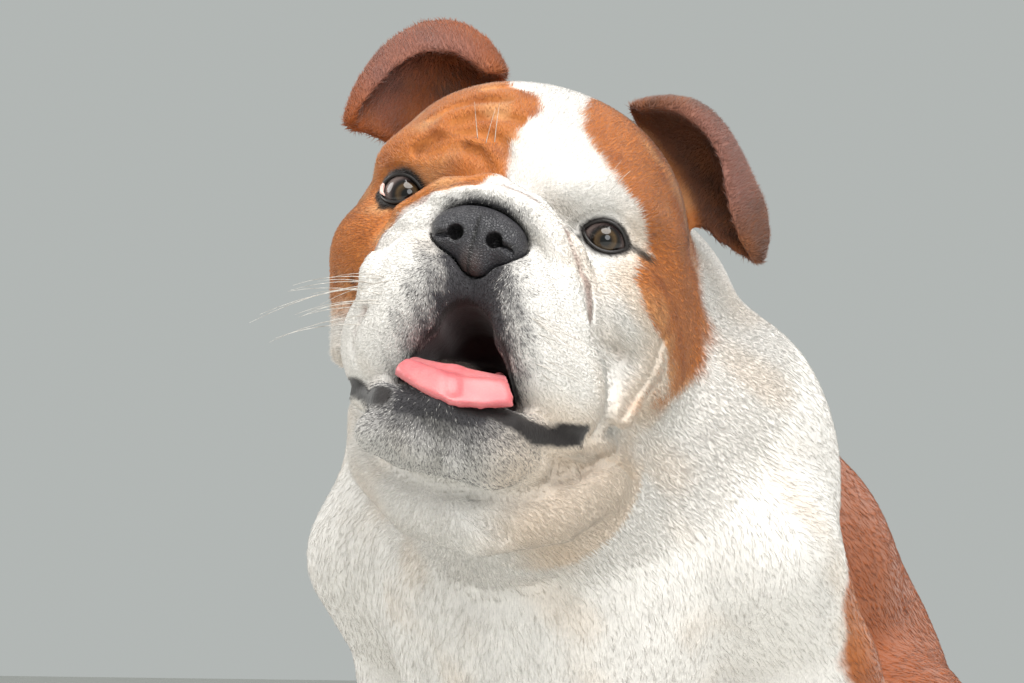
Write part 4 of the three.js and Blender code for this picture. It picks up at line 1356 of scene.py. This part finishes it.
def eye_finish():
    """Pupil, iris, dark ring and white, by the angle from the gaze"""
    finish = Finish("wet_eye")
    streaks = finish.noise(900.0, 5.0, 0.7)
    iris = finish.ramp(finish.attribute("ring", "Fac"), [
        (0.0, (0.002, 0.002, 0.002)), (0.20, (0.002, 0.002, 0.002)), (0.23, (0.022, 0.013, 0.006)),
        (0.42, (0.080, 0.048, 0.020)), (0.52, (0.022, 0.012, 0.006)), (0.60, (0.003, 0.003, 0.003)),
        (0.72, (0.03, 0.02, 0.02)), (0.92, (0.16, 0.12, 0.11))])
    tone = finish.multiplied(iris, finish.greys(streaks, 0.55, 1.0), 0.8)
    finish.surface(Base_Color=tone, Roughness=finish.greys(streaks, 0.06, 0.10, 0.0, 1.0), Coat_Weight=0.45,
                   Coat_Roughness=0.02, Specular_IOR_Level=0.3)
    return finish.material


def leather_finish():
    finish = Finish("nose_leather")
    cells = finish.node("TexVoronoi", Vector=finish.place(), Scale=620.0)
    cells.feature = "DISTANCE_TO_EDGE"
    pebbles = finish.greys(cells.outputs["Distance"], 0.0, 1.0, 0.0, 0.22)
    dust = finish.noise(160.0, 5.0, 0.65)
    tone = finish.multiplied(finish.attribute("coat"), finish.greys(dust, 0.62, 1.0, end=0.75))
    tone = finish.multiplied(tone, finish.greys(pebbles, 0.6, 1.0, 0.0, 1.0))
    finish.surface(Base_Color=tone, Roughness=finish.greys(dust, 0.34, 0.52), Specular_IOR_Level=0.5,
                   Normal=finish.bumped(pebbles, 0.55, 0.0006))
    return finish.material


def tongue_finish():
    finish = Finish("wet_tongue")
    buds = finish.noise(800.0, 3.0)
    flush = finish.noise(45.0, 3.0, 0.5)
    tone = finish.ramp(flush, [(0.3, shade(198, 98, 104)), (0.7, shade(224, 134, 134))])
    tone = finish.multiplied(tone, finish.greys(buds, 0.85, 1.0))
    finish.surface(Base_Color=tone, Roughness=finish.greys(buds, 0.30, 0.45), Subsurface_Weight=0.2,
                   Subsurface_Radius=(0.003, 0.0012, 0.0008), Subsurface_Scale=1.0, Coat_Weight=0.15,
                   Coat_Roughness=0.2, Normal=finish.bumped(buds, 0.3, 0.0006))
    return finish.material


def plain_finish(name, low, high, roughness, scale, coat=0.0):
    finish = Finish(name)
    grain = finish.noise(scale)
    finish.surface(Base_Color=finish.ramp(grain, [(0.3, low), (0.7, high)]), Coat_Weight=coat,
                   Roughness=finish.greys(grain, roughness, roughness + 0.12),
                   Normal=finish.bumped(grain, 0.2, 0.0004))
    return finish.material


def wear(piece, finish, slot, *nodes):
    """Give a piece its finish and its place on the body, and hide the solids it stands for. The slot is not
    used
    """
    piece.data.materials.clear()
    piece.data.materials.append(finish)
    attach(piece, "root")
    if nodes:
        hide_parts(*nodes)


wear(skin, skin_finish(), "white_coat", *FLESH_NODES)
hair_look = hair_finish()
for coat_piece in coat_pieces:
    wear(coat_piece, hair_look, "white_coat")
eye_look = eye_finish()
wear(eyeball("eyeball_left", LEFT_EYE, (0.03, 0, 0.03)), eye_look, "eye", "eye_left")
wear(eyeball("eyeball_right", RIGHT_EYE, (0.02, 0, 0.03)), eye_look, "eye", "eye_right")
lid_look = plain_finish("lid_rim", shade(12, 9, 8), shade(26, 19, 17), 0.42, 300.0, 0.1)
haw_look = plain_finish("haw", shade(196, 150, 140), shade(226, 196, 186), 0.25, 300.0, 0.5)
claw_look = plain_finish("claw_horn", shade(92, 76, 64), shade(168, 146, 124), 0.35, 260.0, 0.3)
whisker_look = plain_finish("whisker", shade(150, 140, 130), shade(235, 230, 222), 0.35, 200.0)
wear(lid_rims_piece(), lid_look, "nose_skin")
wear(haw_piece(), haw_look, "tongue_skin")
wear(nose_piece(), leather_finish(), "nose_skin", "nose")
wear(tongue_piece(), tongue_finish(), "tongue_skin", "tongue")
wear(claws_piece(), claw_look, "eye")
wear(whiskers_piece(), whisker_look, "white_coat")


# Floor, light and camera, in metres

def floor_sheet():
    sheet = bmesh.new()
    bmesh.ops.create_grid(sheet, x_segments=1, y_segments=1, size=6)
    made = bpy.data.meshes.new("floor")
    sheet.to_mesh(made)
    sheet.free()
    made.materials.append(plain_finish("pale_floor", shade(206, 206, 202), shade(216, 216, 212), 0.7, 30.0))
    fresh("floor", made)


def soft_light(name, at, size, power, colour, target=(0, -0.12, 0.36)):
    light = bpy.data.lights.new(name, "AREA")
    light.shape = "DISK"
    light.size = size
    light.energy = power
    light.color = colour
    lamp = fresh(name, light)
    lamp.location = at
    lamp.rotation_mode = "QUATERNION"
    lamp.rotation_quaternion = (Vector(target) - Vector(at)).to_track_quat("-Z", "Y")


def pale_surroundings():
    world = bpy.data.worlds.new("studio")
    world.use_nodes = True
    background = world.node_tree.nodes["Background"]
    background.inputs["Color"].default_value = (0.72, 0.76, 0.74, 1)
    background.inputs["Strength"].default_value = 0.62
    bpy.context.scene.world = world
    bpy.context.scene.view_settings.view_transform = "Standard"


def photo_camera():
    """A camera that sees the middle of the head where the photo has it"""
    across = Vector((math.cos(VIEW_TURN), math.sin(VIEW_TURN), 0))
    upward = TO_VIEWER.cross(across)
    at = Vector(placed(HEAD_AT)[0]) + VIEW_DISTANCE * TO_VIEWER
    at += (IMAGE[0] / 2 - HEAD_PIXEL[0]) * PIXEL * across
    at -= (IMAGE[1] / 2 - HEAD_PIXEL[1]) * PIXEL * upward
    lens = bpy.data.cameras.new("camera")
    lens.sensor_width = 36
    lens.lens = lens.sensor_width * VIEW_DISTANCE / PIXEL / IMAGE[0]
    lens.clip_start = 0.05
    camera = fresh("camera", lens)
    turn = Matrix((across, upward, TO_VIEWER)).transposed().to_4x4()
    camera.matrix_world = Matrix.Translation(at) @ turn
    bpy.context.scene.camera = camera


floor_sheet()
soft_light("sky_above", (0.9, -1.2, 3.0), 2.6, 124, (1.0, 0.98, 0.95))
soft_light("sky_front", (2.2, -2.6, 1.5), 1.8, 40, (0.98, 0.99, 1.0))
soft_light("sky_side", (-2.4, -0.6, 1.6), 1.6, 34, (1.0, 0.98, 0.96))
soft_light("sky_back", (0.8, 2.4, 2.0), 1.8, 30, (1.0, 1.0, 1.0))
pale_surroundings()
photo_camera()
